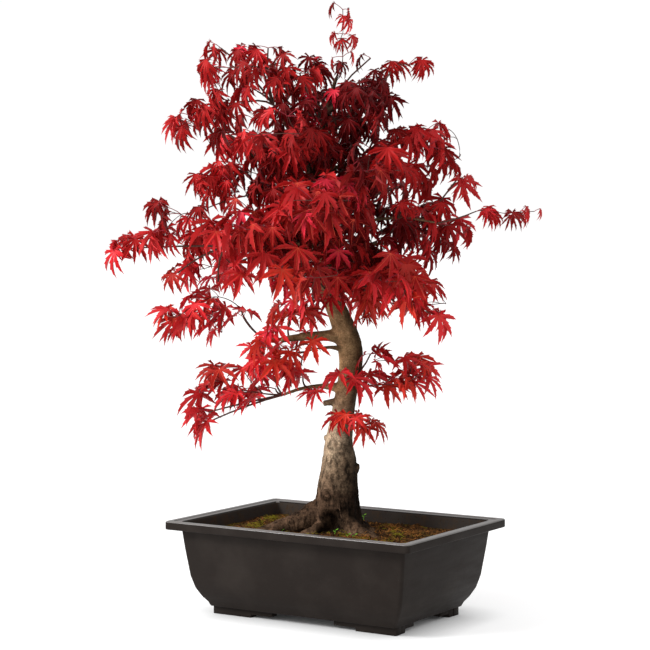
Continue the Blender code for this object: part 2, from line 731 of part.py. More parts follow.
class Growth:
    """Twigs and leaves of one mass, each kept clear of its neighbours."""

    def __init__(self, row, blockers, attempt):
        self.row = row
        self.rng = random.Random(SEED + 7 * row[1] + row[2] + 100 * attempt)
        self.blockers = blockers
        start, along, radius, length = stem_start(row)
        first = start + along * length
        self.stem = stem_shape(row, 0.0)
        self.knots = [first]
        self.radii = [radius * STEM_TAPER]
        self.parents = [None]
        self.lines = [along]
        self.twigs = [None]
        self.cores = [skin_of(stick(start, first - along * KNOT, radius, radius, 6))]
        self.leaves = []
        self.leaf_skins = []
        self.blank = leaf_blank()
        self.guard = leaf_blank(1.8, 1.03)

    def add_twig(self, point):
        """Join a point to the nearest knot, unless the way is blocked."""
        lengths = [(point - knot).length for knot in self.knots]
        parent = lengths.index(min(lengths))
        start = self.knots[parent]
        line = (point - start).normalized()
        if not self.forks_clear(parent, line):
            return False
        r_start = max(TWIG_RADIUS * 0.9, self.radii[parent] * 0.9)
        r_end = max(TWIG_RADIUS * 0.8, r_start * 0.88)
        wide = stick(start + line, point + line, r_start + 0.7, r_end + 0.7, TWIG_SIDES)
        if touches(skin_of(wide), self.blockers):
            return False
        if min(lengths) > 2.2 * KNOT:
            trimmed = stick(start + line * KNOT, point - line * KNOT, r_start + 0.4, r_end + 0.4, 4)
            core = skin_of(trimmed)
            if touches(core, self.cores[1:] + self.leaf_skins):
                return False
            self.cores.append(core)
        self.knots.append(point)
        self.radii.append(r_end)
        self.parents.append(parent)
        self.lines.append(line)
        self.twigs.append(stick(start - line * 0.8, point, r_start, r_end, TWIG_SIDES))
        return True

    def forks_clear(self, parent, line):
        """True where a new twig leaves its knot well apart from the others."""
        least = math.radians(FORK_ANGLE)
        if line.angle(-self.lines[parent]) < least:
            return False
        sisters = [i for i, other in enumerate(self.parents) if other == parent]
        return all(line.angle(self.lines[i]) > least for i in sisters)

    def add_leaf(self, index, side):
        """Hang a leaf on a knot, trying several headings."""
        knot = self.knots[index] - self.lines[index] * 1.2
        blockers = self.blockers + self.cores + self.leaf_skins
        for attempt in range(LEAF_TRIES):
            way = leaf_heading(knot, self.row, side, self.rng)
            scale = self.row[6] * self.rng.uniform(0.88, 1.08) * (1.0 if attempt < 25 else 0.8)
            tip = knot + way[0] * STALK_LENGTH * scale + way[1] * LEAF_LENGTH * scale
            if away_from(tip, self.row) > LEAF_REACH:
                continue
            guard = place_leaf(self.guard, knot, *way, scale, KNOT * 0.7, STALK_RADIUS + 0.5)
            skin = skin_of(guard)
            if not touches(skin, blockers):
                self.leaves.append((index, place_leaf(self.blank, knot, *way, scale, 0.0, STALK_RADIUS)))
                self.leaf_skins.append(skin)
                return

    def add_spray(self, index, count):
        for side in (1, -1, 0):
            if len(self.leaves) < count:
                self.add_leaf(index, side)

    def grow(self, count):
        points = leaf_points(self.row, 2 * count, self.rng)
        first_knots = math.ceil(count / LEAVES_A_KNOT)
        todo = points[:first_knots]
        while todo:
            todo.sort(key=lambda p: min((p - knot).length for knot in self.knots))
            self.add_twig(todo.pop(0))
        for index in range(1, len(self.knots)):
            self.add_spray(index, count)
        for point in points[first_knots:]:
            if len(self.leaves) < count and self.add_twig(point):
                self.add_spray(len(self.knots) - 1, count)

    def shapes(self):
        """Stem, the twigs that lead to a leaf, and the leaves."""
        used = set()
        for index, leaf in self.leaves:
            while index:
                used.add(index)
                index = self.parents[index]
        twigs = [self.twigs[number] for number in sorted(used)]
        return [self.stem] + twigs + [leaf for index, leaf in self.leaves]


def grow_mass(row, blockers, collar, group, scrap):
    """Grow and fuse a mass; each failed try is redrawn, later ones smaller."""
    for attempt in range(FUSE_TRIES):
        growth = Growth(row, blockers, attempt)
        growth.grow(row[8] - attempt // 3)
        mass = fuse(row, growth.shapes(), collar, group, scrap)
        if mass is not None:
            return mass
    raise RuntimeError("could not fuse " + row[0])


def shape_object(name, shape, group):
    mesh = bpy.data.meshes.new(name)
    mesh.from_pydata([tuple(p) for p in shape[0]], [], shape[1])
    mesh.update()
    obj = bpy.data.objects.new(name, mesh)
    group.objects.link(obj)
    return obj


def fuse(row, shapes, collar, group, scrap):
    """One union of stem, twigs and leaves; fewer leaves where it fails."""
    for solver in ("EXACT", "MANIFOLD"):
        mass = shape_object("foliage_" + row[0], shapes[0], group)
        if row[7] <= 0:
            apply_boolean(mass, "DIFFERENCE", "EXACT", other=collar)
        pieces = bpy.data.collections.new("pieces")
        scrap.children.link(pieces)
        made = [shape_object("piece", shape, pieces) for shape in shapes[1:]]
        apply_boolean(mass, "UNION", solver, group=pieces)
        for piece in made:
            drop(piece)
        bpy.data.collections.remove(pieces)
        tidy_mesh(mass)
        if is_clean(mass):
            return mass
        drop(mass)
    return None


def mass_skin(obj):
    points = [v.co.copy() for v in obj.data.vertices]
    faces = [tuple(p.vertices) for p in obj.data.polygons]
    return BVHTree.FromPolygons(points, faces)


def make_crown(group, scrap, trunk):
    collar = trunk_tube("collar", GAP + 0.15, scrap)
    boughs = [make_bough(row, collar, group, scrap) for row in MASSES if row[7] > 0]
    limbs = [mass_skin(obj) for obj in boughs] + [mass_skin(trunk)]
    grown = []
    masses = []
    stems = {row[0]: skin_of(stem_shape(row, 2 * GAP)) for row in MASSES}
    for row in MASSES:
        others = [skin for name, skin in stems.items() if name != row[0]]
        mass = grow_mass(row, limbs + grown + others, collar, group, scrap)
        grown.append(mass_skin(mass))
        masses.append(mass)
    drop(collar)
    return boughs, masses


def give(objects, mat):
    for obj in objects:
        obj.data.materials.clear()
        obj.data.materials.append(mat)


def build():
    clear_scene()
    group = new_collection("potted_maple_bonsai")
    scrap = new_collection("cutters")
    pot = make_pot(group, scrap)
    soil = make_soil(group, scrap)
    trunk = make_trunk(group, scrap)
    boughs, masses = make_crown(group, scrap, trunk)
    give([pot], principled("pot_plastic", POT_LOOK))
    give([soil], principled("potting_soil", SOIL_LOOK))
    give([trunk], principled("bark", BARK_LOOK))
    give(boughs, principled("young_bark", TWIG_LOOK))
    give(masses, principled("red_foliage", LEAF_LOOK))


build()
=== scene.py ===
"""Potted maple bonsai, dressed: pot, soil with moss, barked trunk, twigs and leaves.

Lengths in the tables are millimetres in the tree's frame, where X runs across
the tree, Y runs away from the viewer and compass angles turn from X to Y.
"""
import math
import random

import bpy
import numpy as np
from bpy.props import FloatProperty, FloatVectorProperty, IntProperty, PointerProperty
from mathutils import Matrix, Vector, noise
from mathutils.geometry import intersect_point_line


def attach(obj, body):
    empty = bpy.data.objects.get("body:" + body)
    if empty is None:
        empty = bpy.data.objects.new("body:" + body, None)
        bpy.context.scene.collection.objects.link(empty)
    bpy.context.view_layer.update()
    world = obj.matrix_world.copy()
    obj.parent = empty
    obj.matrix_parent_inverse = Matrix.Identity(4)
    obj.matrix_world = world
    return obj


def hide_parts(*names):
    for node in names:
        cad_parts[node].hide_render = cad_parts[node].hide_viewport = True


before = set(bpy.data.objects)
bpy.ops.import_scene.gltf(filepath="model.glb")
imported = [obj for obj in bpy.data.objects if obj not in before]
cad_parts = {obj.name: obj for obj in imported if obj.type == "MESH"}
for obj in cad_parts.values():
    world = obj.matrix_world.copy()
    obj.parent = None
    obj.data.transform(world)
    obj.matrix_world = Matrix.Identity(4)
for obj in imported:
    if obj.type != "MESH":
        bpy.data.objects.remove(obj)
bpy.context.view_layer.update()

bl_info = {
    "name": "Potted Maple Bonsai",
    "version": (1, 0, 0),
    "blender": (4, 5, 0),
    "location": "View3D > Sidebar > Bonsai",
    "description": "Models a red-leaved maple bonsai in a tray pot",
    "category": "Object",
}

MM = 0.001

# ---- pot: (inset from the rim's edge, height) --------------------------
POT_OUTSIDE = (
    (42.0, 10.6), (41.0, 12.2), (39.3, 16.2), (33.7, 23.3), (27.5, 34.7),
    (23.0, 50.5), (18.0, 86.0), (15.2, 110.0), (14.8, 118.6),
)
POT_LIP = (
    (3.0, 118.6), (3.0, 111.2), (0.6, 111.2), (0.0, 112.0), (0.0, 120.8),
    (1.2, 122.0), (7.4, 122.0), (8.0, 120.9), (14.6, 120.9),
)
POT_INSIDE = (
    (17.4, 119.0), (18.4, 110.0), (21.3, 86.0), (26.3, 50.5), (31.0, 34.7),
    (37.5, 23.3), (46.0, 14.5),
)
FOOT_CORNER = (136.0, 80.0)
# feet: (run along X, run along Y, height clear of the table)
FOOT_RUNS = ((58.0, 13.0, 0.0), (90.0, 12.0, 4.0), (13.8, 24.0, 0.0), (12.8, 46.0, 4.6))
FOOT_TOP = 12.6
SOIL_TOP = 108.0
SOIL_GAP = 0.55
# seedlings on the soil: (sideways, backwards, height) in the tree's frame
SEEDLINGS = (
    (36.0, 72.0, 13.0), (-2.0, -46.0, 6.0), (22.0, -52.0, 5.0), (14.0, -48.0, 4.0), (-70.0, -18.0, 4.0),
)

# ---- trunk: (height, sideways, backwards, radius) ----------------------
TRUNK_LINE = (
    (92.0, 3.0, 0.0, 37.0), (118.0, 2.5, 0.0, 31.5), (147.0, 1.8, 0.0, 27.0),
    (172.0, 3.0, 0.0, 24.2), (203.0, 4.4, -1.0, 21.0), (222.0, 3.6, -2.0, 17.6),
    (252.0, 7.7, -2.0, 14.9), (284.0, 13.0, 1.0, 14.0), (321.0, 19.0, 3.0, 14.8),
    (352.0, 16.0, 4.0, 16.4), (388.0, 3.0, 2.0, 14.6), (425.0, -12.0, 0.0, 12.6),
    (468.0, -9.5, -3.0, 10.9), (506.0, -10.5, -2.0, 9.6), (534.0, -18.0, 1.0, 8.6),
    (558.0, -28.5, 2.0, 7.2), (595.0, -23.0, 0.0, 4.4), (633.0, -15.3, -2.0, 3.5),
    (664.0, -7.0, -1.0, 2.9), (688.0, 1.0, 0.0, 2.4),
)
# surface roots: (compass, height it leaves the trunk, reach, thickness)
ROOTS = (
    (181.0, 146.0, 122.0, 15.5), (222.0, 126.0, 62.0, 12.0),
    (312.0, 134.0, 70.0, 13.0),
    (352.0, 124.0, 52.0, 11.5), (48.0, 126.0, 66.0, 12.0),
    (95.0, 128.0, 70.0, 12.0), (140.0, 130.0, 78.0, 13.0),
)
# a thin root that hangs free in front, lighter through painted light: (sideways, backwards, height)
HANGING_ROOT = (
    (7.0, -20.0, 149.0), (4.5, -29.5, 142.0), (6.5, -36.0, 132.0), (10.0, -39.0, 121.0), (11.0, -40.0, 104.0),
)
HANGING_GIRTH = 2.1
# bark up to this far from that root's middle, and this far past a bend, is its own
HANGING_BARK = 3.4
HANGING_PAST = 3.0
# the arch between the two near legs of the foot, pushed in and darkened with painted shade: middle, then half
# sizes
HOLLOW = (-7.0, -36.0, 115.0)
HOLLOW_HALF = (15.0, 34.0, 20.0)
HOLLOW_DEPTH = 18.0
# share of the bark's painted light taken away in the arch, as painted shade
HOLLOW_PAINTED_SHADE = 0.9
# width of a side root against the root that it forks off, and its reach
SIDE_ROOT_SHARE = 0.55
SIDE_ROOT_REACH = 34.0
# cut stubs and burrs: (compass, height, length, radius)
STUBS = (
    (183.0, 276.0, 28.0, 3.8), (4.0, 192.0, 25.0, 6.0), (236.0, 160.0, 28.5, 6.5),
    (150.0, 230.0, 22.0, 4.5),
)
# the side toward which the bark is painted lighter, as painted light, in the tree's frame
PAINTED_LIGHT_SIDE = Vector((-0.86, -0.50, 0.10))
# healed scars in the bark: (compass, height, radius, depth)
SCARS = ((262.0, 221.0, 5.0, 2.2), (244.0, 160.0, 5.5, 2.5), (300.0, 188.0, 6.0, 1.4))

# ---- crown: name, height of its bough on the trunk, compass, reach, rise,
# half sizes, leaf scale, bough radius at the trunk, share of leaves --------
MASSES = (
    ("apex", 684, 0, 7, 58, (25, 25, 50), 0.56, 0.0, 9),
    ("crown_right", 640, 5, 105, 55, (38, 32, 27), 0.70, 2.6, 6),
    ("crown_left", 594, 190, 92, 93, (61, 50, 47), 0.90, 5.0, 9),
    ("crown_mid", 622, 122, 35, 40, (43, 46, 42), 0.85, 0.0, 8),
    ("crown_near", 600, 320, 75, 51, (50, 46, 42), 0.90, 2.9, 11),
    ("crown_far", 579, 63, 103, 62, (60, 50, 47), 0.90, 3.2, 7),
    ("upper_left", 556, 174, 147, 70, (47, 46, 38), 0.85, 3.6, 9),
    ("upper_near", 570, 250, 95, 32, (62, 50, 41), 1.00, 3.5, 7),
    ("upper_right", 560, 358, 144, 29, (58, 52, 44), 1.00, 4.0, 12),
    ("upper_far", 562, 122, 139, 38, (62, 50, 45), 1.00, 4.0, 7),
    ("near_upper_right", 545, 301, 130, 12, (58, 48, 41), 1.00, 3.8, 8),
    ("mid_left", 526, 185, 122, 23, (57, 46, 32), 0.90, 3.6, 9),
    ("far_right_upper", 520, 52, 135, 24, (64, 50, 47), 1.00, 4.4, 7),
    ("far_left_upper", 505, 105, 142, 12, (64, 48, 45), 1.00, 4.2, 7),
    ("near_left", 482, 222, 131, 5, (62, 48, 39), 1.05, 4.2, 11),
    ("far_left", 470, 149, 172, -15, (64, 50, 39), 1.00, 4.6, 9),
    ("long_left", 455, 183, 207, 29, (62, 48, 46), 0.95, 5.2, 7),
    ("right_mid", 452, 10, 131, 39, (62, 48, 47), 1.00, 4.8, 12),
    ("sprig_right", 488, 350, 226, 23, (47, 32, 27), 0.70, 3.4, 7),
    ("near_mid", 500, 264, 126, 21, (53, 46, 41), 1.05, 4.2, 10),
    ("near_centre", 430, 254, 115, -2, (52, 48, 42), 1.15, 4.6, 10),
    ("near_right", 440, 313, 106, -18, (61, 46, 43), 1.15, 4.6, 11),
    ("far_low_right", 428, 74, 111, -8, (66, 48, 45), 1.00, 4.8, 7),
    ("droop_right", 415, 4, 127, -24, (35, 38, 40), 0.75, 3.2, 5),
    ("low_left", 358, 182, 187, 18, (61, 48, 43), 1.00, 6.0, 9),
    ("inner_left", 338, 209, 103, 3, (50, 40, 33), 0.80, 3.2, 6),
    ("pad_left", 289, 180, 131, -10, (82, 48, 46), 1.00, 4.6, 8),
    ("pad_right", 300, 352, 60, 3, (61, 42, 34), 0.90, 0.0, 10),
    ("low_near", 262, 283, 51, -12, (36, 34, 36), 0.72, 0.0, 5),
)
CUT_STUB_BOUGH = "low_left"
CUT_STUB_LENGTH = 26.0
CUT_STUB_SAG = (0.0, -1.8, -6.5, -13.0, -7.0)  # that bough lies nearly level
CUT_STUB_RADIUS = 4.0
BOUGH_ENTERS = 0.62
SEED = 417
REACH_OUT = 1.08          # how far leaf tips may pass a mass's space, and below it
REACH_DOWN = 1.45
INNER_FROM = 425.0        # height from which boughs bear leaves along them
INNER_SHOOTS = 18
YOUNG = 0.72              # leaf scale up to which a mass is a single slim shoot

# extra sprigs: parent mass, sideways, backwards, height, leaf scale
SPRIGS = (
    ("crown_left", -99, -25, 668, 0.90), ("crown_left", -86, -5, 724, 0.75),
    ("crown_mid", -28, 0, 706, 0.60), ("crown_mid", 44, 5, 712, 0.60),
    ("near_centre", -52, -62, 398, 0.95), ("near_centre", -28, -50, 392, 0.90),
    ("near_centre", -6, -44, 410, 0.85), ("near_right", 34, -38, 384, 0.55),
    ("near_right", 84, -62, 396, 1.00), ("near_right", 116, -56, 392, 0.95),
    ("droop_right", 136, -6, 384, 0.85), ("low_left", -34, 16, 356, 0.70),
    ("low_left", -58, 6, 382, 0.80), ("inner_left", -60, -30, 338, 0.95),
    ("inner_left", -44, -22, 322, 0.90), ("inner_left", -84, -40, 326, 0.95),
    ("pad_left", -42, -14, 306, 0.90), ("pad_left", -18, -26, 288, 0.70),
    ("pad_left", -78, -4, 306, 0.90), ("pad_left", -162, -14, 262, 1.00),
    ("low_near", 38, -48, 250, 0.90), ("long_left", -266, -10, 470, 0.85),
    ("long_left", -200, -12, 440, 0.85), ("long_left", -150, -6, 428, 0.90),
    ("low_left", -118, -6, 382, 0.80), ("pad_right", 12, -26, 306, 0.90),
    ("crown_left", -124, -10, 652, 0.85), ("crown_left", -146, 0, 724, 0.80),
    ("upper_right", 78, -30, 618, 0.85), ("right_mid", 152, -10, 556, 0.85),
    ("near_left", -112, -40, 440, 0.95), ("mid_left", -162, -14, 522, 0.85),
    ("near_right", 46, -46, 396, 0.70), ("pad_right", 44, -10, 336, 0.80),
    ("crown_near", 24, -40, 676, 0.80), ("crown_left", -64, -8, 690, 0.80),
    ("crown_mid", -46, -20, 691, 0.80), ("crown_left", -62, -34, 676, 0.85),
    ("crown_near", -38, -40, 658, 0.85), ("crown_left", -94, -10, 706, 0.85),
    ("crown_near", -60, -44, 643, 0.90), ("pad_left", -158, -22, 252, 0.95),
)
# places left open to the sky, seen from the front: sideways, height, half sizes
OPEN_SKY = (
    (100, 350, 30, 14), (86, 637, 15, 11), (189, 491, 12, 10), (-99, 400, 15, 14),
    (-148, 332, 26, 9), (181, 530, 15, 10), (114, 439, 14, 10), (-186, 350, 14, 9),
    (-6, 328, 12, 12), (166, 476, 10, 8), (-18, 262, 13, 10), (57, 710, 13, 14),
    (-196, 532, 16, 12), (-112, 374, 14, 11), (146, 490, 9, 7), (56, 264, 12, 8),
    (-98, 271, 9, 6), (96, 681, 10, 9), (-222, 450, 12, 7), (-178, 613, 10, 8),
    (171, 609, 16, 22), (156, 386, 18, 17), (-258, 498, 26, 12), (-190, 296, 15, 15),
    (-66, 541, 17, 8), (-88, 566, 12, 7), (-175, 416, 8, 6), (39, 723, 7, 8),
    (-13, 706, 6, 7), (40, 346, 8, 12), (160, 650, 30, 22), (150, 596, 10, 8),
    (-11, 425, 12, 18), (6, 380, 13, 15), (-32, 556, 8, 13),
)
# the camera's place in the tree's frame, in millimetres, then in the pot's frame, in metres
EYE = Vector((-14.0, -2552.0, 503.0))
CAMERA_PLACE = (1.34815684, -2.16718431, 0.50344834)
CAMERA_FALL = 2.94  # degrees that it looks down

# lobes of a leaf: (angle from the middle lobe, length, cross-sections)
LOBES = (
    (-126.0, 0.36, 2), (-80.0, 0.70, 3), (-39.0, 0.93, 4), (0.0, 1.0, 4),
    (39.0, 0.93, 4), (80.0, 0.70, 3), (126.0, 0.36, 2),
)
# along a lobe: (share of its length, share of its greatest width)
LOBE_CUTS = {
    2: ((0.32, 0.0), (0.60, 1.0), (1.0, 0.0)),
    3: ((0.24, 0.0), (0.48, 1.0), (0.72, 0.66), (1.0, 0.0)),
    4: ((0.22, 0.0), (0.42, 0.98), (0.62, 0.86), (0.80, 0.42), (1.0, 0.0)),
}
LOBE_WIDTH = 0.111        # greatest half width against the lobe's length
TOOTH = 0.72              # how far the edge steps in behind a tooth


def tree_to_pot(x, y, z):
    """Millimetres in the tree's frame to metres in the pot's frame."""
    turn = math.radians(bpy.context.scene.bonsai_tree.crown_turn)
    across = x * math.cos(turn) - y * math.sin(turn)
    along = x * math.sin(turn) + y * math.cos(turn)
    return Vector((across, along, z)) * MM


def polar(compass, reach):
    angle = math.radians(compass)
    return Vector((reach * math.cos(angle), reach * math.sin(angle), 0.0))


# ---- settings ----------------------------------------------------------
def length_setting(name, description, default):
    return FloatProperty(name=name, description=description, default=default, unit="LENGTH", precision=4)


def colour_setting(name, description, default):
    return FloatVectorProperty(name=name, description=description, default=default, subtype="COLOR", size=3)


class PotSettings(bpy.types.PropertyGroup):
    """Sizes and finish of the tray pot"""

    long_side: length_setting("Long side", "Rim length along X", 0.360)
    short_side: length_setting("Short side", "Rim width along Y", 0.255)
    corner: length_setting("Corner radius", "Rounding of the upright corners", 0.004)
    edge: length_setting("Edge rounding", "Rounding of the moulded edges", 0.0007)
    plastic: colour_setting("Plastic", "Dark brown-grey plastic", (0.0155, 0.0118, 0.0100))
    dust: colour_setting("Dust", "Pale dust and scuffs on the plastic", (0.050, 0.041, 0.035))


class GroundSettings(bpy.types.PropertyGroup):
    """Soil, moss and crumbs in the pot"""

    soil: colour_setting("Soil", "Damp soil", (0.034, 0.017, 0.007))
    peat: colour_setting("Peat", "Drier reddish fibre in the soil", (0.190, 0.080, 0.022))
    moss: colour_setting("Moss", "Live yellow-green moss", (0.15, 0.125, 0.012))
    dry_moss: colour_setting("Dry moss", "Dried orange-brown moss", (0.25, 0.105, 0.024))
    sprout: colour_setting("Sprouts", "Bright green seedlings", (0.13, 0.33, 0.03))
    fibre: colour_setting("Fibre", "Dark root fibre", (0.030, 0.014, 0.007))
    crumbs: IntProperty(name="Crumbs", description="Loose crumbs of soil", default=1500)
    clumps: IntProperty(name="Clumps", description="Clumps of moss and fibre", default=230)


class TreeSettings(bpy.types.PropertyGroup):
    """Trunk, boughs and twigs"""

    crown_turn: FloatProperty(
        name="Crown turn",
        description="Turn from the pot's long side to the tree's own X, in degrees",
        default=32.2,
    )
    grain: length_setting("Bark grain", "Size of the facets that carry the bark's relief", 0.0014)
    relief: length_setting("Bark relief", "Depth of the rough bark at the foot", 0.0011)
    dark_bark: colour_setting("Dark bark", "Rough bark at the foot", (0.062, 0.036, 0.022))
    root_bark: colour_setting("Root bark", "Reddish bark of the surface roots", (0.165, 0.098, 0.058))
    tan_bark: colour_setting("Tan bark", "Weathered pale bark above the foot", (0.36, 0.265, 0.175))
    olive_bark: colour_setting("Olive bark", "Smooth young bark", (0.235, 0.146, 0.072))
    twig: colour_setting("Twigs", "Dark red-brown shoots", (0.075, 0.028, 0.02))
    stalk: colour_setting("Leaf stalks", "Crimson leaf stalks", (0.26, 0.016, 0.028))


class LeafSettings(bpy.types.PropertyGroup):
    """Leaves and how they hang"""

    blade: length_setting("Blade", "Middle lobe of a full-grown leaf", 0.045)
    stalk: length_setting("Stalk", "Leaf stalk of a full-grown leaf", 0.021)
    fullness: FloatProperty(
        name="Fullness", description="Leaf-bearing knots for each share of leaves", default=1.3,
    )
    # scarlet, bright, crimson, deep and maroon are one red at five levels of painted light and shade, and
    # rust is orange in painted shade; spray_tone deals them out by place and at random
    scarlet: colour_setting("Scarlet", "Sunlit leaves", (0.56, 0.016, 0.022))
    bright: colour_setting("Bright red", "Leaves near the light", (0.46, 0.012, 0.014))
    crimson: colour_setting("Crimson", "Leaves of the upper crown", (0.34, 0.010, 0.010))
    deep: colour_setting("Deep crimson", "Leaves in half shade", (0.22, 0.006, 0.006))
    maroon: colour_setting("Maroon", "Leaves inside the crown", (0.12, 0.002, 0.003))
    orange: colour_setting("Orange red", "Older leaves low on the tree", (0.55, 0.024, 0.012))
    rust: colour_setting("Rust", "Older shaded leaves", (0.36, 0.015, 0.009))
    pink: colour_setting("Young pink", "Youngest leaves at the shoots' ends", (0.54, 0.014, 0.034))
    rib: colour_setting("Ribs", "Paler midribs", (0.50, 0.050, 0.024))


class StudioSettings(bpy.types.PropertyGroup):
    """Floor, lights and camera"""

    floor: colour_setting("Floor", "Plain pale floor", (0.58, 0.58, 0.58))
    glow: FloatProperty(name="Floor glow", description="Light from under the floor", default=0.58)
    contact: FloatProperty(
        name="Contact shadow",
        description="How near a thing must be to dim the floor's glow",
        default=0.055,
        unit="LENGTH",
    )
    key: FloatProperty(
        name="Key light", description="Power of the large light on the left", default=60.0, unit="POWER",
    )
    fill: FloatProperty(
        name="Fill light", description="Power of the light on the right", default=0.8, unit="POWER",
    )
    backdrop: FloatProperty(name="Backdrop", description="White seen behind the tree", default=1.02)
    sky: FloatProperty(name="Surround", description="Strength of the surround on the dim side", default=0.68)
    slope: FloatProperty(
        name="Slope of light", description="How much more the surround gives from the left", default=0.75,
    )
    lens: FloatProperty(name="Lens", description="Focal length in millimetres", default=110.77)


# ---- helpers -----------------------------------------------------------
def deselect():
    bpy.ops.object.select_all(action="DESELECT")


def pick(obj):
    deselect()
    obj.select_set(True)
    bpy.context.view_layer.objects.active = obj


def apply_modifier(obj, kind, **values):
    pick(obj)
    mod = obj.modifiers.new(kind.lower(), kind)
    for key, value in values.items():
        setattr(mod, key, value)
    bpy.ops.object.modifier_apply(modifier=mod.name)


def apply_place(obj):
    pick(obj)
    bpy.ops.object.transform_apply(location=True, rotation=True, scale=True)


def joined(pieces, name):
    pick(pieces[0])
    for piece in pieces:
        piece.select_set(True)
    bpy.ops.object.join()
    obj = bpy.context.object
    obj.name = name
    obj.data.name = name
    return obj


def mesh_piece(name, points, faces):
    """One joined mesh from arrays of points and faces, in metres."""
    mesh = bpy.data.meshes.new(name)
    mesh.from_pydata([tuple(p) for p in points], [], faces)
    mesh.update()
    obj = bpy.data.objects.new(name, mesh)
    bpy.context.scene.collection.objects.link(obj)
    return obj


def finish_piece(obj, slot, *nodes):
    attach(obj, "root")
    if nodes:
        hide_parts(*nodes)


def smooth_line(points, steps):
    """A rounded line through the points, in steps between each pair."""
    line = []
    last = len(points) - 1
    for i in range(last):
        before, here = points[max(i - 1, 0)], points[i]
        there, after = points[i + 1], points[min(i + 2, last)]
        for step in range(steps):
            t = step / steps
            line.append(0.5 * (
                2.0 * here + (there - before) * t
                + (2.0 * before - 5.0 * here + 4.0 * there - after) * t ** 2
                + (3.0 * here - before - 3.0 * there + after) * t ** 3
            ))
    line.append(points[last])
    return line


# ---- materials ---------------------------------------------------------
def new_material(name, colour, rough, shine=0.5):
    mat = bpy.data.materials.new(name)
    mat.use_nodes = True
    mat.diffuse_color = (*colour, 1.0)
    shader = mat.node_tree.nodes["Principled BSDF"]
    shader.inputs["Base Color"].default_value = (*colour, 1.0)
    shader.inputs["Roughness"].default_value = rough
    shader.inputs["Specular IOR Level"].default_value = shine
    return mat


def add_node(mat, kind, **values):
    node = mat.node_tree.nodes.new(kind)
    for key, value in values.items():
        if hasattr(node, key):
            setattr(node, key, value)
        else:
            node.inputs[key.replace("_", " ")].default_value = value
    return node


def link(mat, output, target):
    mat.node_tree.links.new(output, target)


def place_vector(mat, stretch=(1.0, 1.0, 1.0), turn=0.0):
    """Object coordinates, turned about Z and stretched."""
    coords = add_node(mat, "ShaderNodeTexCoord")
    mapping = add_node(mat, "ShaderNodeMapping")
    mapping.inputs["Rotation"].default_value = (0.0, 0.0, math.radians(turn))
    mapping.inputs["Scale"].default_value = stretch
    link(mat, coords.outputs["Object"], mapping.inputs["Vector"])
    return mapping.outputs["Vector"]


def noise_out(mat, vector, scale, detail=4.0, rough=0.55):
    node = add_node(mat, "ShaderNodeTexNoise")
    node.inputs["Scale"].default_value = scale
    node.inputs["Detail"].default_value = detail
    node.inputs["Roughness"].default_value = rough
    link(mat, vector, node.inputs["Vector"])
    return node.outputs["Fac"]


def ramp_out(mat, value, stops):
    """A colour ramp; stops are (place, grey or colour)."""
    node = add_node(mat, "ShaderNodeValToRGB")
    bar = node.color_ramp
    while len(bar.elements) < len(stops):
        bar.elements.new(0.5)
    for element, (place, tone) in zip(bar.elements, stops):
        element.position = place
        element.color = (*tone, 1.0) if hasattr(tone, "__len__") else (tone, tone, tone, 1.0)
    link(mat, value, node.inputs["Fac"])
    return node.outputs["Color"]


def mix_out(mat, share, low, high, way="MIX"):
    """Mix two colours; each may be an output or a plain colour."""
    node = add_node(mat, "ShaderNodeMix", data_type="RGBA", blend_type=way)
    for socket, value in ((node.inputs[0], share), (node.inputs[6], low), (node.inputs[7], high)):
        if isinstance(value, bpy.types.NodeSocket):
            link(mat, value, socket)
        elif hasattr(value, "__len__"):
            socket.default_value = (*value, 1.0)
        else:
            socket.default_value = value
    return node.outputs[2]


def add_bump(mat, height, strength, distance, below=None):
    node = add_node(mat, "ShaderNodeBump")
    node.inputs["Strength"].default_value = strength
    node.inputs["Distance"].default_value = distance
    link(mat, height, node.inputs["Height"])
    if below is not None:
        link(mat, below, node.inputs["Normal"])
    return node.outputs["Normal"]


def shader_of(mat):
    return mat.node_tree.nodes["Principled BSDF"]


def pot_material(settings):
    """Moulded plastic: fine grain, faint flow marks, dust and scuffs."""
    mat = new_material("pot_plastic", settings.plastic, 0.5, 0.05)
    place = place_vector(mat)
    streaks = noise_out(mat, place_vector(mat, (6.0, 6.0, 40.0)), 3.0, 3.0)
    clouds = noise_out(mat, place, 16.0, 5.0, 0.6)
    specks = noise_out(mat, place, 420.0, 3.0, 0.7)
    dust = ramp_out(mat, clouds, ((0.48, 0.0), (0.78, 0.25)))
    flecks = ramp_out(mat, specks, ((0.66, 0.0), (0.76, 0.5)))
    colour = mix_out(mat, dust, tuple(settings.plastic), tuple(settings.dust))
    colour = mix_out(mat, flecks, colour, tuple(settings.dust))
    link(mat, colour, shader_of(mat).inputs["Base Color"])
    gloss = mix_out(mat, streaks, (0.34, 0.34, 0.34), (0.60, 0.60, 0.60))
    link(mat, gloss, shader_of(mat).inputs["Roughness"])
    grain = add_bump(mat, noise_out(mat, place, 900.0, 2.0), 0.25, 0.0002)
    waves = add_bump(mat, clouds, 0.35, 0.0011, grain)
    link(mat, waves, shader_of(mat).inputs["Normal"])
    return mat


def pot_inside_material(settings, ground):
    """The same plastic above the soil, greyed and smeared with earth."""
    mat = new_material("pot_inside", settings.dust, 0.7, 0.05)
    place = place_vector(mat)
    smears = noise_out(mat, place_vector(mat, (1.0, 1.0, 0.6)), 55.0, 6.0, 0.7)
    specks = noise_out(mat, place, 330.0, 4.0, 0.7)
    earth = ramp_out(mat, smears, ((0.50, 0.0), (0.62, 0.85)))
    spots = ramp_out(mat, specks, ((0.58, 0.0), (0.66, 0.9)))
    plain_side = mix_out(mat, 0.4, tuple(settings.dust), tuple(settings.plastic))
    colour = mix_out(mat, earth, plain_side, (0.050, 0.032, 0.020))
    colour = mix_out(mat, spots, colour, tuple(ground.soil))
    link(mat, colour, shader_of(mat).inputs["Base Color"])
    link(mat, add_bump(mat, smears, 0.5, 0.0008), shader_of(mat).inputs["Normal"])
    return mat


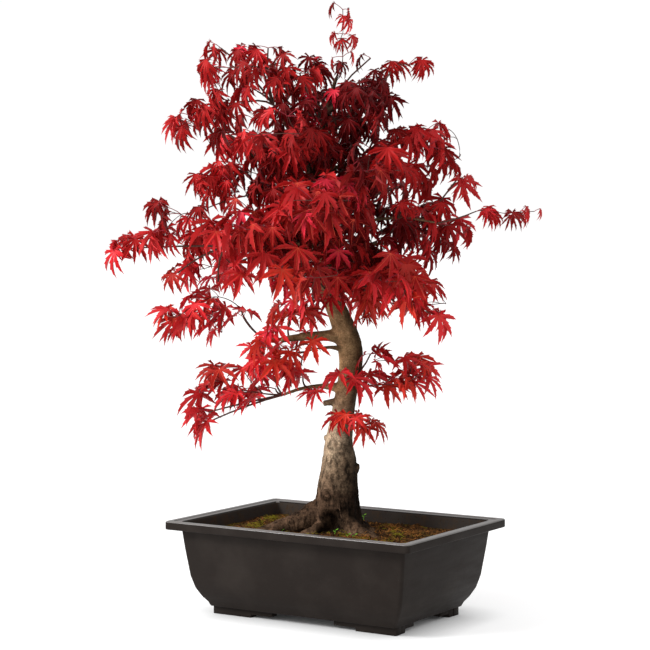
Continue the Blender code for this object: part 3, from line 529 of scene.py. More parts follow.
def pot_rim_material(settings):
    """The lip's upper side, rubbed smooth and glossy; its dusty grey is lightened as painted reflection of
    the sky.
    """
    mat = new_material("pot_rim", settings.dust, 0.3, 0.9)
    place = place_vector(mat)
    clouds = noise_out(mat, place, 45.0, 4.0, 0.6)
    # lighter grey over the dust: painted reflection of the sky on the top of the lip
    colour = mix_out(mat, clouds, tuple(settings.dust), (0.16, 0.15, 0.145))
    link(mat, colour, shader_of(mat).inputs["Base Color"])
    gloss = mix_out(mat, clouds, (0.28, 0.28, 0.28), (0.42, 0.42, 0.42))
    link(mat, gloss, shader_of(mat).inputs["Roughness"])
    link(mat, add_bump(mat, noise_out(mat, place, 700.0, 2.0), 0.2, 0.0002), shader_of(mat).inputs["Normal"])
    return mat


def soil_material(settings):
    """Dark crumbly soil with reddish fibre and patches of low moss."""
    mat = new_material("potting_soil", settings.soil, 0.95, 0.02)
    place = place_vector(mat)
    grains = noise_out(mat, place, 260.0, 6.0, 0.7)
    patches = noise_out(mat, place, 22.0, 4.0, 0.6)
    fibre = ramp_out(mat, grains, ((0.46, 0.0), (0.66, 1.0)))
    moss = ramp_out(mat, patches, ((0.52, 0.0), (0.64, 0.75)))
    colour = mix_out(mat, fibre, tuple(settings.soil), tuple(settings.peat))
    green = mix_out(mat, fibre, (0.03, 0.026, 0.006), tuple(settings.moss))
    colour = mix_out(mat, moss, colour, green)
    link(mat, colour, shader_of(mat).inputs["Base Color"])
    link(mat, add_bump(mat, grains, 0.9, 0.0015), shader_of(mat).inputs["Normal"])
    return mat


def bark_material(tree):
    """Olive and smooth above, tan and crusty lower down, dark and rough at the foot, with painted shade in
    the cracks and painted light on one side.
    """
    mat = new_material("bark", tree.olive_bark, 0.9, 0.05)
    coords = add_node(mat, "ShaderNodeTexCoord")
    split = add_node(mat, "ShaderNodeSeparateXYZ")
    link(mat, coords.outputs["Object"], split.inputs[0])
    place = place_vector(mat)
    wander = noise_out(mat, place, 34.0, 4.0, 0.6)
    height = add_node(mat, "ShaderNodeMath", operation="MULTIPLY_ADD")
    link(mat, wander, height.inputs[0])
    height.inputs[1].default_value = 0.075
    link(mat, split.outputs["Z"], height.inputs[2])
    dark, root = tuple(tree.dark_bark), tuple(tree.root_bark)
    tan, olive = tuple(tree.tan_bark), tuple(tree.olive_bark)
    zones = ramp_out(mat, height.outputs[0], (
        (0.143, root), (0.165, dark), (0.196, dark), (0.232, (0.19, 0.128, 0.08)),
        (0.258, tan), (0.290, tan), (0.330, olive), (0.480, olive), (0.560, (0.10, 0.055, 0.035)),
    ))
    foot = ramp_out(mat, height.outputs[0], ((0.235, 1.0), (0.345, 0.22)))
    upright = place_vector(mat, (1.0, 1.0, 0.55))
    cracks = noise_out(mat, upright, 150.0, 7.0, 0.72)
    grit = noise_out(mat, place, 520.0, 3.0, 0.7)
    bands = noise_out(mat, place_vector(mat, (0.18, 0.18, 1.0)), 300.0, 2.0)
    patches = noise_out(mat, place, 62.0, 5.0, 0.65)
    # painted shade in the bark's cracks, mixed in most strongly at the foot
    shade = ramp_out(mat, cracks, ((0.38, 0.16), (0.55, 1.0)))
    painted_crack_shade = mix_out(mat, 1.0, zones, shade, "MULTIPLY")
    colour = mix_out(mat, foot, zones, painted_crack_shade)
    blotch = ramp_out(mat, patches, ((0.38, 0.62), (0.64, 1.3)))
    colour = mix_out(mat, 1.0, colour, blotch, "MULTIPLY")
    specks = ramp_out(mat, grit, ((0.40, 0.72), (0.62, 1.22)))
    colour = mix_out(mat, 1.0, colour, specks, "MULTIPLY")
    rings = ramp_out(mat, bands, ((0.36, 0.84), (0.50, 1.0)))
    colour = mix_out(mat, 1.0, colour, rings, "MULTIPLY")
    # painted light and shade: the bark lighter on the side facing the light, darker on the side away and in
    # the arch
    painted_light = add_node(mat, "ShaderNodeAttribute", attribute_name="painted_light")
    sides = ramp_out(mat, painted_light.outputs["Fac"], (
        (0.0, 0.22), (0.35, 0.30), (0.50, 0.48), (0.68, 0.90), (0.83, 1.12), (1.0, 1.85)))
    colour = mix_out(mat, 1.0, colour, sides, "MULTIPLY")
    link(mat, colour, shader_of(mat).inputs["Base Color"])
    deep = add_bump(mat, cracks, 0.6, 0.0022)
    fine = add_bump(mat, grit, 0.5, 0.0006, deep)
    lines = add_bump(mat, bands, 0.15, 0.0005, fine)
    link(mat, lines, shader_of(mat).inputs["Normal"])
    return mat


def leaf_materials(leaf):
    """Plain satin reds, one for each tone, and one for the ribs."""
    made = {}
    for tone in TONES:
        shine = 0.09 if tone in ("deep", "maroon", "crimson") else 0.2
        made[tone] = new_material("leaf_" + tone, getattr(leaf, tone), 0.48, shine)
        shader_of(made[tone]).inputs["Sheen Weight"].default_value = 0.05
        shader_of(made[tone]).inputs["Sheen Roughness"].default_value = 0.4
    return made


# ---- pot and soil ------------------------------------------------------
def draw_stack(rings, settings):
    """A rounded rectangle extruded ring by ring through (inset, height)."""
    half_x, half_y = settings.long_side / 2, settings.short_side / 2
    inset, z = rings[0]
    x, y = half_x - inset * MM, half_y - inset * MM
    deselect()
    bpy.ops.mesh.primitive_plane_add(size=2.0, location=(0.0, 0.0, z * MM))
    obj = bpy.context.object
    obj.scale = (x, y, 1.0)
    apply_place(obj)
    bpy.ops.object.mode_set(mode="EDIT")
    bpy.ops.mesh.select_all(action="SELECT")
    bpy.ops.mesh.bevel(offset=settings.corner, segments=5, affect="VERTICES")
    bpy.ops.mesh.select_mode(type="FACE")
    for inset, next_z in rings[1:]:
        bpy.ops.mesh.extrude_region_move(TRANSFORM_OT_translate={"value": (0.0, 0.0, (next_z - z) * MM)})
        new_x, new_y = half_x - inset * MM, half_y - inset * MM
        bpy.ops.transform.resize(value=(new_x / x, new_y / y, 1.0), center_override=(0.0, 0.0, next_z * MM))
        x, y, z = new_x, new_y, next_z
    bpy.ops.mesh.select_all(action="SELECT")
    bpy.ops.mesh.normals_make_consistent(inside=False)
    bpy.ops.object.mode_set(mode="OBJECT")
    return obj


def draw_block(low, high):
    """A box between two corners, in millimetres."""
    deselect()
    middle = [(a + b) / 2 * MM for a, b in zip(low, high)]
    bpy.ops.mesh.primitive_cube_add(size=1.0, location=middle)
    obj = bpy.context.object
    obj.scale = [(b - a) * MM for a, b in zip(low, high)]
    apply_place(obj)
    return obj


def draw_feet():
    """Four corner feet, each of two runs at right angles with a lower step."""
    made = []
    for sign_x in (-1, 1):
        for sign_y in (-1, 1):
            for number, (run_x, run_y, clear) in enumerate(FOOT_RUNS):
                outer_x, outer_y = FOOT_CORNER[0] - 0.4 * number, FOOT_CORNER[1] - 0.4 * number
                xs = sorted((sign_x * outer_x, sign_x * (FOOT_CORNER[0] - run_x)))
                ys = sorted((sign_y * outer_y, sign_y * (FOOT_CORNER[1] - run_y)))
                made.append(draw_block((xs[0], ys[0], clear), (xs[1], ys[1], FOOT_TOP)))
    return made


class BONSAI_OT_pot(bpy.types.Operator):
    """Model the plastic tray pot with its hollow rolled lip and corner feet"""

    bl_idname = "bonsai.pot"
    bl_label = "Pot"

    def execute(self, context):
        settings = context.scene.bonsai_pot
        body = draw_stack(POT_OUTSIDE + POT_LIP + POT_INSIDE, settings)
        pot = joined([body] + draw_feet(), "tray_pot")
        sharp = math.radians(28)
        apply_modifier(pot, "BEVEL", width=settings.edge, segments=2, limit_method="ANGLE", angle_limit=sharp)
        pick(pot)
        bpy.ops.object.shade_smooth_by_angle(angle=math.radians(38))
        pot.data.materials.append(pot_material(settings))
        pot.data.materials.append(pot_inside_material(settings, context.scene.bonsai_ground))
        pot.data.materials.append(pot_rim_material(settings))
        for face in pot.data.polygons:
            inward = face.normal.x * face.center.x + face.normal.y * face.center.y < 0.0
            # the lip's upward faces take the rim's lighter colour, as painted light where they face the sky
            if face.center.z > 120.0 * MM and face.normal.z > 0.3:
                face.material_index = 2
            elif inward and 20.0 * MM < face.center.z < 119.5 * MM:
                face.material_index = 1
        finish_piece(pot, "pot_plastic", "pot")
        return {"FINISHED"}


def soil_height(x, y):
    """Height of the soil in millimetres at a place in metres."""
    away = math.hypot(x / 0.150, y / 0.100)
    dip = 4.0 * max(0.0, min(1.0, (away - 0.55) * 1.8))
    lumps = 5.0 * noise.noise(Vector((x * 26.0, y * 26.0, 3.0)))
    crumbs = 2.6 * noise.noise(Vector((x * 110.0, y * 110.0, 9.0)))
    fine = 0.9 * abs(noise.noise(Vector((x * 330.0, y * 330.0, 5.0))))
    return SOIL_TOP - 0.6 - dip + lumps + crumbs + fine


class BONSAI_OT_soil(bpy.types.Operator):
    """Model the soil that fills the pot, with a lumpy top"""

    bl_idname = "bonsai.soil"
    bl_label = "Soil"

    def execute(self, context):
        pot = context.scene.bonsai_pot
        rings = [(POT_INSIDE[-1][0] + 1.0, POT_INSIDE[-1][1] + 0.3)]
        rings += [(inset + SOIL_GAP, z) for inset, z in reversed(POT_INSIDE[2:-1])]
        rings.append((18.7 + SOIL_GAP, SOIL_TOP - 4.0))
        soil = draw_stack(rings, pot)
        deselect()
        x, y = pot.long_side / 2 - 19.0 * MM, pot.short_side / 2 - 19.0 * MM
        bpy.ops.mesh.primitive_grid_add(x_subdivisions=200, y_subdivisions=140, size=2.0)
        top = bpy.context.object
        top.scale = (x, y, 1.0)
        apply_place(top)
        for vert in top.data.vertices:
            vert.co.z = soil_height(vert.co.x, vert.co.y) * MM
        bpy.ops.object.mode_set(mode="EDIT")
        bpy.ops.mesh.select_all(action="SELECT")
        bpy.ops.mesh.extrude_region_move(TRANSFORM_OT_translate={"value": (0.0, 0.0, -7.0 * MM)})
        bpy.ops.mesh.select_all(action="SELECT")
        bpy.ops.mesh.normals_make_consistent(inside=False)
        bpy.ops.object.mode_set(mode="OBJECT")
        soil = joined([soil, top], "soil_top")
        pick(soil)
        bpy.ops.object.shade_smooth_by_angle(angle=math.radians(60))
        soil.data.materials.append(soil_material(context.scene.bonsai_ground))
        finish_piece(soil, "potting_soil", "soil")
        return {"FINISHED"}


def crumb(place, size, rng):
    """A small angular grain of six points."""
    corners = ((1, 0, 0), (-1, 0, 0), (0, 1, 0), (0, -1, 0), (0, 0, 1), (0, 0, -1))
    points = [place + Vector(corner) * size * rng.uniform(0.5, 1.2) for corner in corners]
    faces = [(a, b, c) for a, b, c in (
        (0, 2, 4), (2, 1, 4), (1, 3, 4), (3, 0, 4), (2, 0, 5), (1, 2, 5), (3, 1, 5), (0, 3, 5))]
    return points, faces


def strand(place, length, thick, heading, rise, rng):
    """A thin arching strand, as a line and its radii."""
    along = polar(heading, math.cos(rise)) + Vector((0, 0, math.sin(rise)))
    curl = polar(heading + rng.uniform(-90, 90), 0.5) - Vector((0, 0, rng.uniform(0.2, 1.1)))
    line = [place + along * length * t + curl * length * t * t for t in (0.0, 0.4, 0.75, 1.0)]
    return line, [thick, thick, thick * 0.8, thick * 0.35]


class BONSAI_OT_litter(bpy.types.Operator):
    """Strew crumbs, moss, fibres and a few seedlings on the soil"""

    bl_idname = "bonsai.litter"
    bl_label = "Moss and crumbs"

    def execute(self, context):
        ground = context.scene.bonsai_ground
        self.rng = random.Random(SEED)
        self.points, self.faces, self.tones = [], [], []
        for _ in range(ground.crumbs):
            place = self.somewhere(7.0)
            size = self.rng.choice((0.6, 0.8, 1.1, 1.6, 2.6))
            self.add(*crumb(place, size, self.rng), self.rng.choice((0, 0, 1, 5)))
        for _ in range(ground.clumps):
            self.add_clump(self.somewhere(16.0))
        for x, y, tall in SEEDLINGS:
            self.add_seedling(x, y, tall)
        litter = mesh_piece("litter", [tree_to_pot(*p) for p in self.points], self.faces)
        names = ("soil", "peat", "moss", "dry_moss", "sprout", "fibre")
        for name in names:
            litter.data.materials.append(new_material("litter_" + name, getattr(ground, name), 0.9, 0.02))
        litter.data.polygons.foreach_set("material_index", self.tones)
        finish_piece(litter, "potting_soil", "soil")
        return {"FINISHED"}

    def somewhere(self, margin):
        """A seeded place on the soil, in the tree's frame."""
        pot = bpy.context.scene.bonsai_pot
        x = self.rng.uniform(-1, 1) * (pot.long_side / 2 - (20.0 + margin) * MM)
        y = self.rng.uniform(-1, 1) * (pot.short_side / 2 - (20.0 + margin) * MM)
        back = Matrix.Rotation(math.radians(-bpy.context.scene.bonsai_tree.crown_turn), 3, "Z")
        place = back @ Vector((x, y, 0.0)) / MM
        place.z = soil_height(x, y)
        return place

    def add(self, points, faces, tone):
        base = len(self.points)
        self.points += points
        self.faces += [tuple(base + v for v in face) for face in faces]
        self.tones += [tone] * len(faces)

    def add_clump(self, middle):
        """A tuft of strands: mostly green moss to the left, dried moss to the right."""
        rng = self.rng
        green = rng.random() < (0.7 if middle.x < -10.0 else 0.25)
        tone = rng.choice((2, 2, 5)) if green else rng.choice((3, 3, 1, 5, 5))
        lines = []
        for _ in range(rng.randrange(10, 22)):
            place = middle + polar(rng.uniform(0, 360), rng.uniform(0.0, 9.0)) - Vector((0, 0, 0.6))
            length = rng.uniform(3.0, 10.0)
            girth, compass, lean = rng.uniform(0.22, 0.45), rng.uniform(0, 360), rng.uniform(0.3, 1.45)
            lines.append(strand(place, length, girth, compass, lean, rng))
        self.add(*tubes(lines, 3), tone)

    def add_seedling(self, x, y, tall):
        """A stem with two pairs of small round leaves."""
        place = tree_to_pot(x, y, 0.0)
        foot = Vector((x, y, soil_height(place.x, place.y) - 1.0))
        top = foot + Vector((1.5, -0.5, tall))
        self.add(*tubes([([foot, foot.lerp(top, 0.5), top], [0.45, 0.4, 0.35])], 4), 4)
        for number in range(4):
            out = polar(45.0 + 90.0 * number, 1.0)
            side = Vector((-out.y, out.x, 0.0))
            start = top - Vector((0, 0, 2.5 * (number % 2)))
            shape = ((0.0, 0.0), (1.6, 1.3), (3.4, 1.2), (4.4, 0.0), (3.4, -1.2), (1.6, -1.3))
            leaf = [start + out * a + side * b + Vector((0, 0, 0.35 * a - 0.1 * abs(b))) for a, b in shape]
            self.add(leaf, [(0, 1, 2, 3), (0, 3, 4, 5)], 4)


# ---- limbs -------------------------------------------------------------
def trunk_at(height):
    """Trunk axis and radius at a height, in the tree's frame."""
    rows = TRUNK_LINE
    for low, high in zip(rows, rows[1:]):
        if height <= high[0]:
            part = max(0.0, (height - low[0]) / (high[0] - low[0]))
            return tuple(low[i] + (high[i] - low[i]) * part for i in (1, 2, 3))
    return rows[-1][1], rows[-1][2], rows[-1][3]


def mass_middle(row):
    x, y, _ = trunk_at(row[1])
    return Vector((x, y, row[1] + row[4])) + polar(row[2], row[3])


def bough_line(row):
    """Points from the trunk's axis into the mass, as the solids have them."""
    name, height, compass, _, rise = row[:5]
    rng = random.Random(SEED + int(compass) + int(height))
    x, y, _ = trunk_at(height)
    start = Vector((x, y, height))
    end = start.lerp(mass_middle(row), BOUGH_ENTERS)
    length = (end - start).length
    side = Vector((-(end - start).y, (end - start).x, 0.0)).normalized()
    lift = 0.09 * length if rise < 60 else -0.12 * length
    sway = rng.uniform(-0.05, 0.05) * length
    points = []
    for step in range(5):
        t = step / 4
        bow = 4.0 * t * (1.0 - t)
        kink = rng.uniform(-0.012, 0.012) * length if 0 < step < 4 else 0.0
        rise_by = CUT_STUB_SAG[step] if name == CUT_STUB_BOUGH else lift * bow
        points.append(start.lerp(end, t) + Vector((0, 0, rise_by)) + side * (sway * bow + kink))
    return points


def bough_rings(row):
    """The bough as (x, y, z, radius), with a collar where it leaves the trunk."""
    points = bough_line(row)
    base = row[7]
    tip = max(1.5, base * 0.42)
    rings = []
    for i, point in enumerate(points):
        radius = base + (tip - base) * (i / 4) ** 0.8
        if row[0] == CUT_STUB_BOUGH:
            radius = (6.6, 5.6, 5.0, 2.1, 1.7)[i]
        rings.append(Vector((*point, radius)))
    line = smooth_line(rings, 4)
    x, y, girth = trunk_at(row[1])
    for ring in line:
        away = math.hypot(ring.x - x, ring.y - y) - girth
        ring.w *= 1.0 + 0.7 * math.exp(-max(0.0, away) / 7.0)
    return line


def root_rings(compass, height, reach, thick):
    """A surface root as (x, y, z, radius), from inside the trunk to its thin end."""
    x, y, _ = trunk_at(height)
    rings = []
    for step in range(11):
        t = step / 10
        bend = 7.0 * math.sin(t * 3.0 + compass)
        place = Vector((x, y, 0.0)) + polar(compass + bend, reach * t)
        z = SOIL_TOP - 3.0 + (height - SOIL_TOP + 3.0) * (1.0 - t) ** 2.1
        rings.append(Vector((place.x, place.y, z, thick * (1.0 - t) ** 0.7 + 3.2)))
    return rings


def side_root_rings(rings, turn, thin):
    """A smaller root that forks off another at its middle."""
    start = rings[4]
    heading = rings[6] - rings[4]
    angle = math.degrees(math.atan2(heading.y, heading.x)) + turn
    made = []
    for step in range(6):
        t = step / 5
        place = start.xyz + polar(angle, SIDE_ROOT_REACH * t)
        z = max(SOIL_TOP - 5.0, start.z - 3.0 - (start.z - SOIL_TOP + 4.0) * t)
        made.append(Vector((place.x, place.y, z, start.w * thin * (1.0 - 0.7 * t) + 1.0)))
    return made


def draw_limb(rings, sides):
    """A filled circle extruded along the rings, in the tree's frame."""
    places = [tree_to_pot(ring.x, ring.y, ring.z) for ring in rings]
    aim = (places[-1] - places[0]).to_track_quat("Z", "X").to_euler()
    deselect()
    bpy.ops.mesh.primitive_circle_add(
        vertices=sides, radius=rings[0].w * MM, fill_type="NGON", location=places[0], rotation=aim,
    )
    obj = bpy.context.object
    apply_place(obj)
    bpy.ops.object.mode_set(mode="EDIT")
    bpy.ops.mesh.select_mode(type="FACE")
    bpy.ops.mesh.select_all(action="SELECT")
    for i in range(1, len(rings)):
        step = places[i] - places[i - 1]
        bpy.ops.mesh.extrude_region_move(TRANSFORM_OT_translate={"value": step})
        grow = rings[i].w / rings[i - 1].w
        bpy.ops.transform.resize(value=(grow, grow, grow), center_override=places[i])
    bpy.ops.mesh.select_all(action="SELECT")
    bpy.ops.mesh.normals_make_consistent(inside=False)
    bpy.ops.object.mode_set(mode="OBJECT")
    return obj


def limb_rings():
    """Rings of every limb: trunk, roots, stubs and boughs."""
    line = [Vector((x, y, z, radius)) for z, x, y, radius in TRUNK_LINE]
    limbs = [(smooth_line(line, 4), 24)]
    for number, row in enumerate(ROOTS):
        rings = root_rings(*row)
        limbs.append((rings, 12))
        limbs.append((side_root_rings(rings, 34.0 if number % 2 else -38.0, SIDE_ROOT_SHARE), 8))
    limbs.append((smooth_line([Vector((*place, HANGING_GIRTH)) for place in HANGING_ROOT], 3), 8))
    for compass, height, length, radius in STUBS:
        x, y, _ = trunk_at(height)
        start = Vector((x, y, height))
        end = start + polar(compass, length) + Vector((0.0, 0.0, -4.0))
        steps = [start.lerp(end, t / 4) for t in range(5)]
        limbs.append(([Vector((*p, radius * (1.3 - 0.08 * i))) for i, p in enumerate(steps)], 10))
    for row in MASSES:
        if row[7] > 0:
            limbs.append((bough_rings(row), 10))
        if row[0] == CUT_STUB_BOUGH:
            limbs.append((cut_stub_rings(row), 10))
    return limbs


def cut_stub_rings(row):
    points = bough_line(row)
    along = (points[2] - points[1]).normalized()
    end = points[2] + along * CUT_STUB_LENGTH + Vector((0.0, -6.0, -2.0))
    steps = [points[2].lerp(end, t / 3) for t in range(4)]
    return [Vector((*p, CUT_STUB_RADIUS * (1.15 - 0.06 * i))) for i, p in enumerate(steps)]


def bark_depth(x, y, z, relief):
    """How far the bark stands out at a point in the tree's frame."""
    foot = max(0.0, min(1.0, (240.0 - z) / 90.0))
    rough = 0.22 + 0.78 * foot
    lumps = noise.noise(Vector((x * 0.075, y * 0.075, z * 0.035)))
    plates = 1.0 - 2.0 * abs(noise.noise(Vector((x * 0.22, y * 0.22, z * 0.10))))
    grain = noise.noise(Vector((x * 0.5, y * 0.5, z * 0.34)))
    wrinkles = noise.noise(Vector((x * 0.06, y * 0.06, z * 0.42)))
    depth = relief * rough * (1.3 * lumps + 0.8 * plates + 0.65 * grain)
    return depth + relief * 0.22 * wrinkles


def flute_depth(x, y, z):
    """Ridges that run up the trunk from the roots."""
    if z > 250.0:
        return 0.0
    axis_x, axis_y, radius = trunk_at(z)
    out = Vector((x - axis_x, y - axis_y))
    if out.length > radius + 14.0:
        return 0.0
    compass = math.degrees(math.atan2(out.y, out.x))
    ridge = 0.0
    for row in ROOTS:
        turn = (compass - row[0] + 180.0) % 360.0 - 180.0
        ridge += math.exp(-(turn / 13.0) ** 2)
    return 3.8 * (ridge - 0.55) * math.exp(-max(0.0, z - 132.0) / 40.0)


def scar_depth(place):
    """Raised rings round sunken, healed scars."""
    depth = 0.0
    for compass, height, radius, sunk in SCARS:
        x, y, girth = trunk_at(height)
        middle = Vector((x, y, height)) + polar(compass, girth)
        away = (place - middle).length / radius
        if away < 2.5:
            depth += sunk * (0.7 * math.exp(-((away - 1.0) / 0.35) ** 2) - math.exp(-(away / 0.6) ** 2))
    return depth


def hollow_share(place):
    """How far a point lies inside the arch between the two near legs, 0 to 1."""
    away = place - Vector(HOLLOW)
    near = sum((gap / half) ** 2 for gap, half in zip(away, HOLLOW_HALF))
    return math.exp(-near * near)


def on_hanging_root(place):
    """Whether a point lies on the thin root that hangs free."""
    if not HANGING_ROOT[-1][2] - 4.0 < place.z < HANGING_ROOT[0][2] - 3.0:
        return False
    for start, end in zip(HANGING_ROOT, HANGING_ROOT[1:]):
        nearest = intersect_point_line(place, Vector(start), Vector(end))[0]
        beside = start[2] + HANGING_PAST > nearest.z > end[2] - HANGING_PAST
        if beside and (place - nearest).length < HANGING_BARK:
            return True
    return False


class BONSAI_OT_limbs(bpy.types.Operator):
    """Model the trunk, roots and boughs as one limb, with the bark's relief"""

    bl_idname = "bonsai.limbs"
    bl_label = "Trunk and boughs"

    def execute(self, context):
        tree = context.scene.bonsai_tree
        limbs = [draw_limb(rings, sides) for rings, sides in limb_rings()]
        wood = joined(limbs, "trunk_and_boughs")
        apply_modifier(wood, "REMESH", mode="VOXEL", voxel_size=tree.grain, use_smooth_shade=True)
        apply_modifier(wood, "SMOOTH", factor=0.5, iterations=4)
        self.add_relief(wood, tree)
        pick(wood)
        bpy.ops.object.shade_smooth()
        wood.data.materials.clear()
        wood.data.materials.append(bark_material(tree))
        boughs = ["bough_" + row[0] for row in MASSES if row[7] > 0]
        finish_piece(wood, "bark", "trunk", *boughs)
        return {"FINISHED"}

    def add_relief(self, wood, tree):
        """Push the bark in and out, and store its painted light and shade at each point."""
        turn = Matrix.Rotation(math.radians(-tree.crown_turn), 3, "Z")
        relief = tree.relief / MM
        count = len(wood.data.vertices)
        places = np.zeros(count * 3)
        outward = np.zeros(count * 3)
        wood.data.vertices.foreach_get("co", places)
        wood.data.vertex_normals.foreach_get("vector", outward)
        places, outward = places.reshape(-1, 3), outward.reshape(-1, 3)
        # painted light: brighter where the bark faces the light direction above, darker where it faces away
        shade = 0.5 + 0.5 * outward @ np.array(turn.transposed() @ PAINTED_LIGHT_SIDE)
        for number in range(count):
            place = turn @ Vector(places[number]) / MM
            depth = bark_depth(place.x, place.y, place.z, relief)
            depth += flute_depth(place.x, place.y, place.z) + scar_depth(place)
            # the hanging root: its painted light raised toward bright, and no painted shade from the arch
            if on_hanging_root(place):
                shade[number] = 0.5 + 0.5 * shade[number]
            else:
                # push the arch in, and darken it with painted shade
                sunk = hollow_share(place)
                depth -= HOLLOW_DEPTH * sunk
                shade[number] *= 1.0 - HOLLOW_PAINTED_SHADE * sunk
            places[number] += outward[number] * depth * MM
        places[:, 2] = np.maximum(places[:, 2], (SOIL_TOP - 7.0) * MM)
        wood.data.vertices.foreach_set("co", places.ravel())
        painted_light = wood.data.attributes.new("painted_light", "FLOAT", "POINT")
        painted_light.data.foreach_set("value", shade)
        wood.data.update()


# ---- crown -------------------------------------------------------------
TONES = ("scarlet", "bright", "crimson", "deep", "maroon", "orange", "rust", "pink", "rib")


class Space:
    """The room that a mass or a sprig has for its leaves."""

    def __init__(self, middle, half, compass, scale):
        self.middle = middle
        self.half = half
        self.compass = compass
        self.scale = scale

    def near(self):
        """Whether the leaves here face the viewer rather than a side."""
        return math.sin(math.radians(self.compass)) < -0.45

    def holds(self, point):
        gap = point - self.middle
        deep = self.half[2] * (REACH_DOWN if gap.z < 0.0 else REACH_OUT)
        level = (gap.x / self.half[0]) ** 2 + (gap.y / self.half[1]) ** 2
        return level + (gap.z / deep) ** 2 < REACH_OUT ** 2


def open_sky(point):
    """Whether a point lies in front of or behind a place left open."""
    seen = EYE + (point - EYE) * (-EYE.y / (point.y - EYE.y))
    for x, z, wide, high in OPEN_SKY:
        if ((seen.x - x) / wide) ** 2 + ((seen.z - z) / high) ** 2 < 1.0:
            return True
    return False


def knot_points(row, count, rng):
    """Seeded points through a mass, spaced apart, its furthest edges first."""
    middle = mass_middle(row)
    half = row[5]
    if row[6] <= YOUNG:
        return shoot_points(row, rng)
    outward = polar(row[2], 1.0)
    up = Vector((0, 0, 1))
    wanted = [outward, outward - 0.5 * up, outward.cross(up), up.cross(outward), up]
    wanted += [outward + 0.5 * up, outward + outward.cross(up), outward - outward.cross(up)]
    spacing = 22.0 * min(1.0, row[6] + 0.1)
    chosen = []
    for attempt in range(900):
        if attempt < len(wanted):
            heading = wanted[attempt].normalized()
            depth = rng.uniform(0.6, 0.78)
        else:
            heading = Vector((rng.gauss(0, 1), rng.gauss(0, 1), rng.gauss(0, 1))).normalized()
            depth = 0.95 * rng.random() ** 0.5
        point = middle + Vector([heading[i] * half[i] * depth for i in range(3)])
        point.z = middle.z + 0.8 * (point.z - middle.z) + 0.2 * half[2]
        if not open_sky(point) and all((point - other).length > spacing for other in chosen):
            chosen.append(point)
        if len(chosen) >= count:
            break
    return chosen


def shoot_points(row, rng):
    """Knots one after another along a slim young shoot."""
    middle, half = mass_middle(row), row[5]
    along = Vector((0, 0, 1)) if row[0] == "apex" else polar(row[2], 1.0)
    reach = abs(along.x) * half[0] + abs(along.y) * half[1] + abs(along.z) * half[2]
    points = []
    for step in range(6 if row[0] == "apex" else 5):
        away = reach * (-0.95 + 0.30 * step if row[0] == "apex" else -0.75 + 0.36 * step)
        sway = Vector((rng.uniform(-3, 3), rng.uniform(-6, 6), rng.uniform(2, 9)))
        points.append(middle + along * away + sway)
    return points


def inner_points(row, rng):
    """Seeded points beside a bough, between the trunk and its mass."""
    if row[7] <= 0 or row[1] < INNER_FROM:
        return []
    line = bough_rings(row)
    points = []
    for i in range(5, len(line) - 2, 3):
        side = (line[i + 1].xyz - line[i].xyz).cross(Vector((0, 0, 1))).normalized()
        for way in (-1, 1):
            if rng.random() < 0.62:
                away = way * rng.uniform(16.0, 36.0)
                points.append(line[i].xyz + side * away + Vector((0, 0, rng.uniform(-4.0, 20.0))))
    return points


def start_knots(row):
    """Knots that a mass grows from: (point, direction, radius)."""
    if row[7] > 0:
        line = bough_rings(row)
        first = 5 if row[1] >= INNER_FROM else 10
        knots = []
        for i in range(first, len(line)):
            if (len(line) - 1 - i) % 3 == 0:
                along = (line[i].xyz - line[i - 1].xyz).normalized()
                knots.append([line[i].xyz, along, line[i].w])
        return knots
    return [trunk_knot(min(row[1], TRUNK_LINE[-1][0]) - drop, row) for drop in (1.0, 18.0, 36.0)]


def trunk_knot(height, row):
    x, y, girth = trunk_at(height)
    start = Vector((x, y, height))
    return [start, (mass_middle(row) - start).normalized(), min(2.0, girth)]


def bend_line(start, along, end, steps):
    """A twig that leaves along a direction and curves to its end."""
    span = (end - start).length
    middle = start + (along * 0.45 + (end - start).normalized() * 0.55) * span * 0.5
    middle.z += 0.05 * span
    points = []
    for step in range(steps + 1):
        t = step / steps
        points.append(start * (1 - t) ** 2 + middle * 2 * t * (1 - t) + end * t ** 2)
    return points


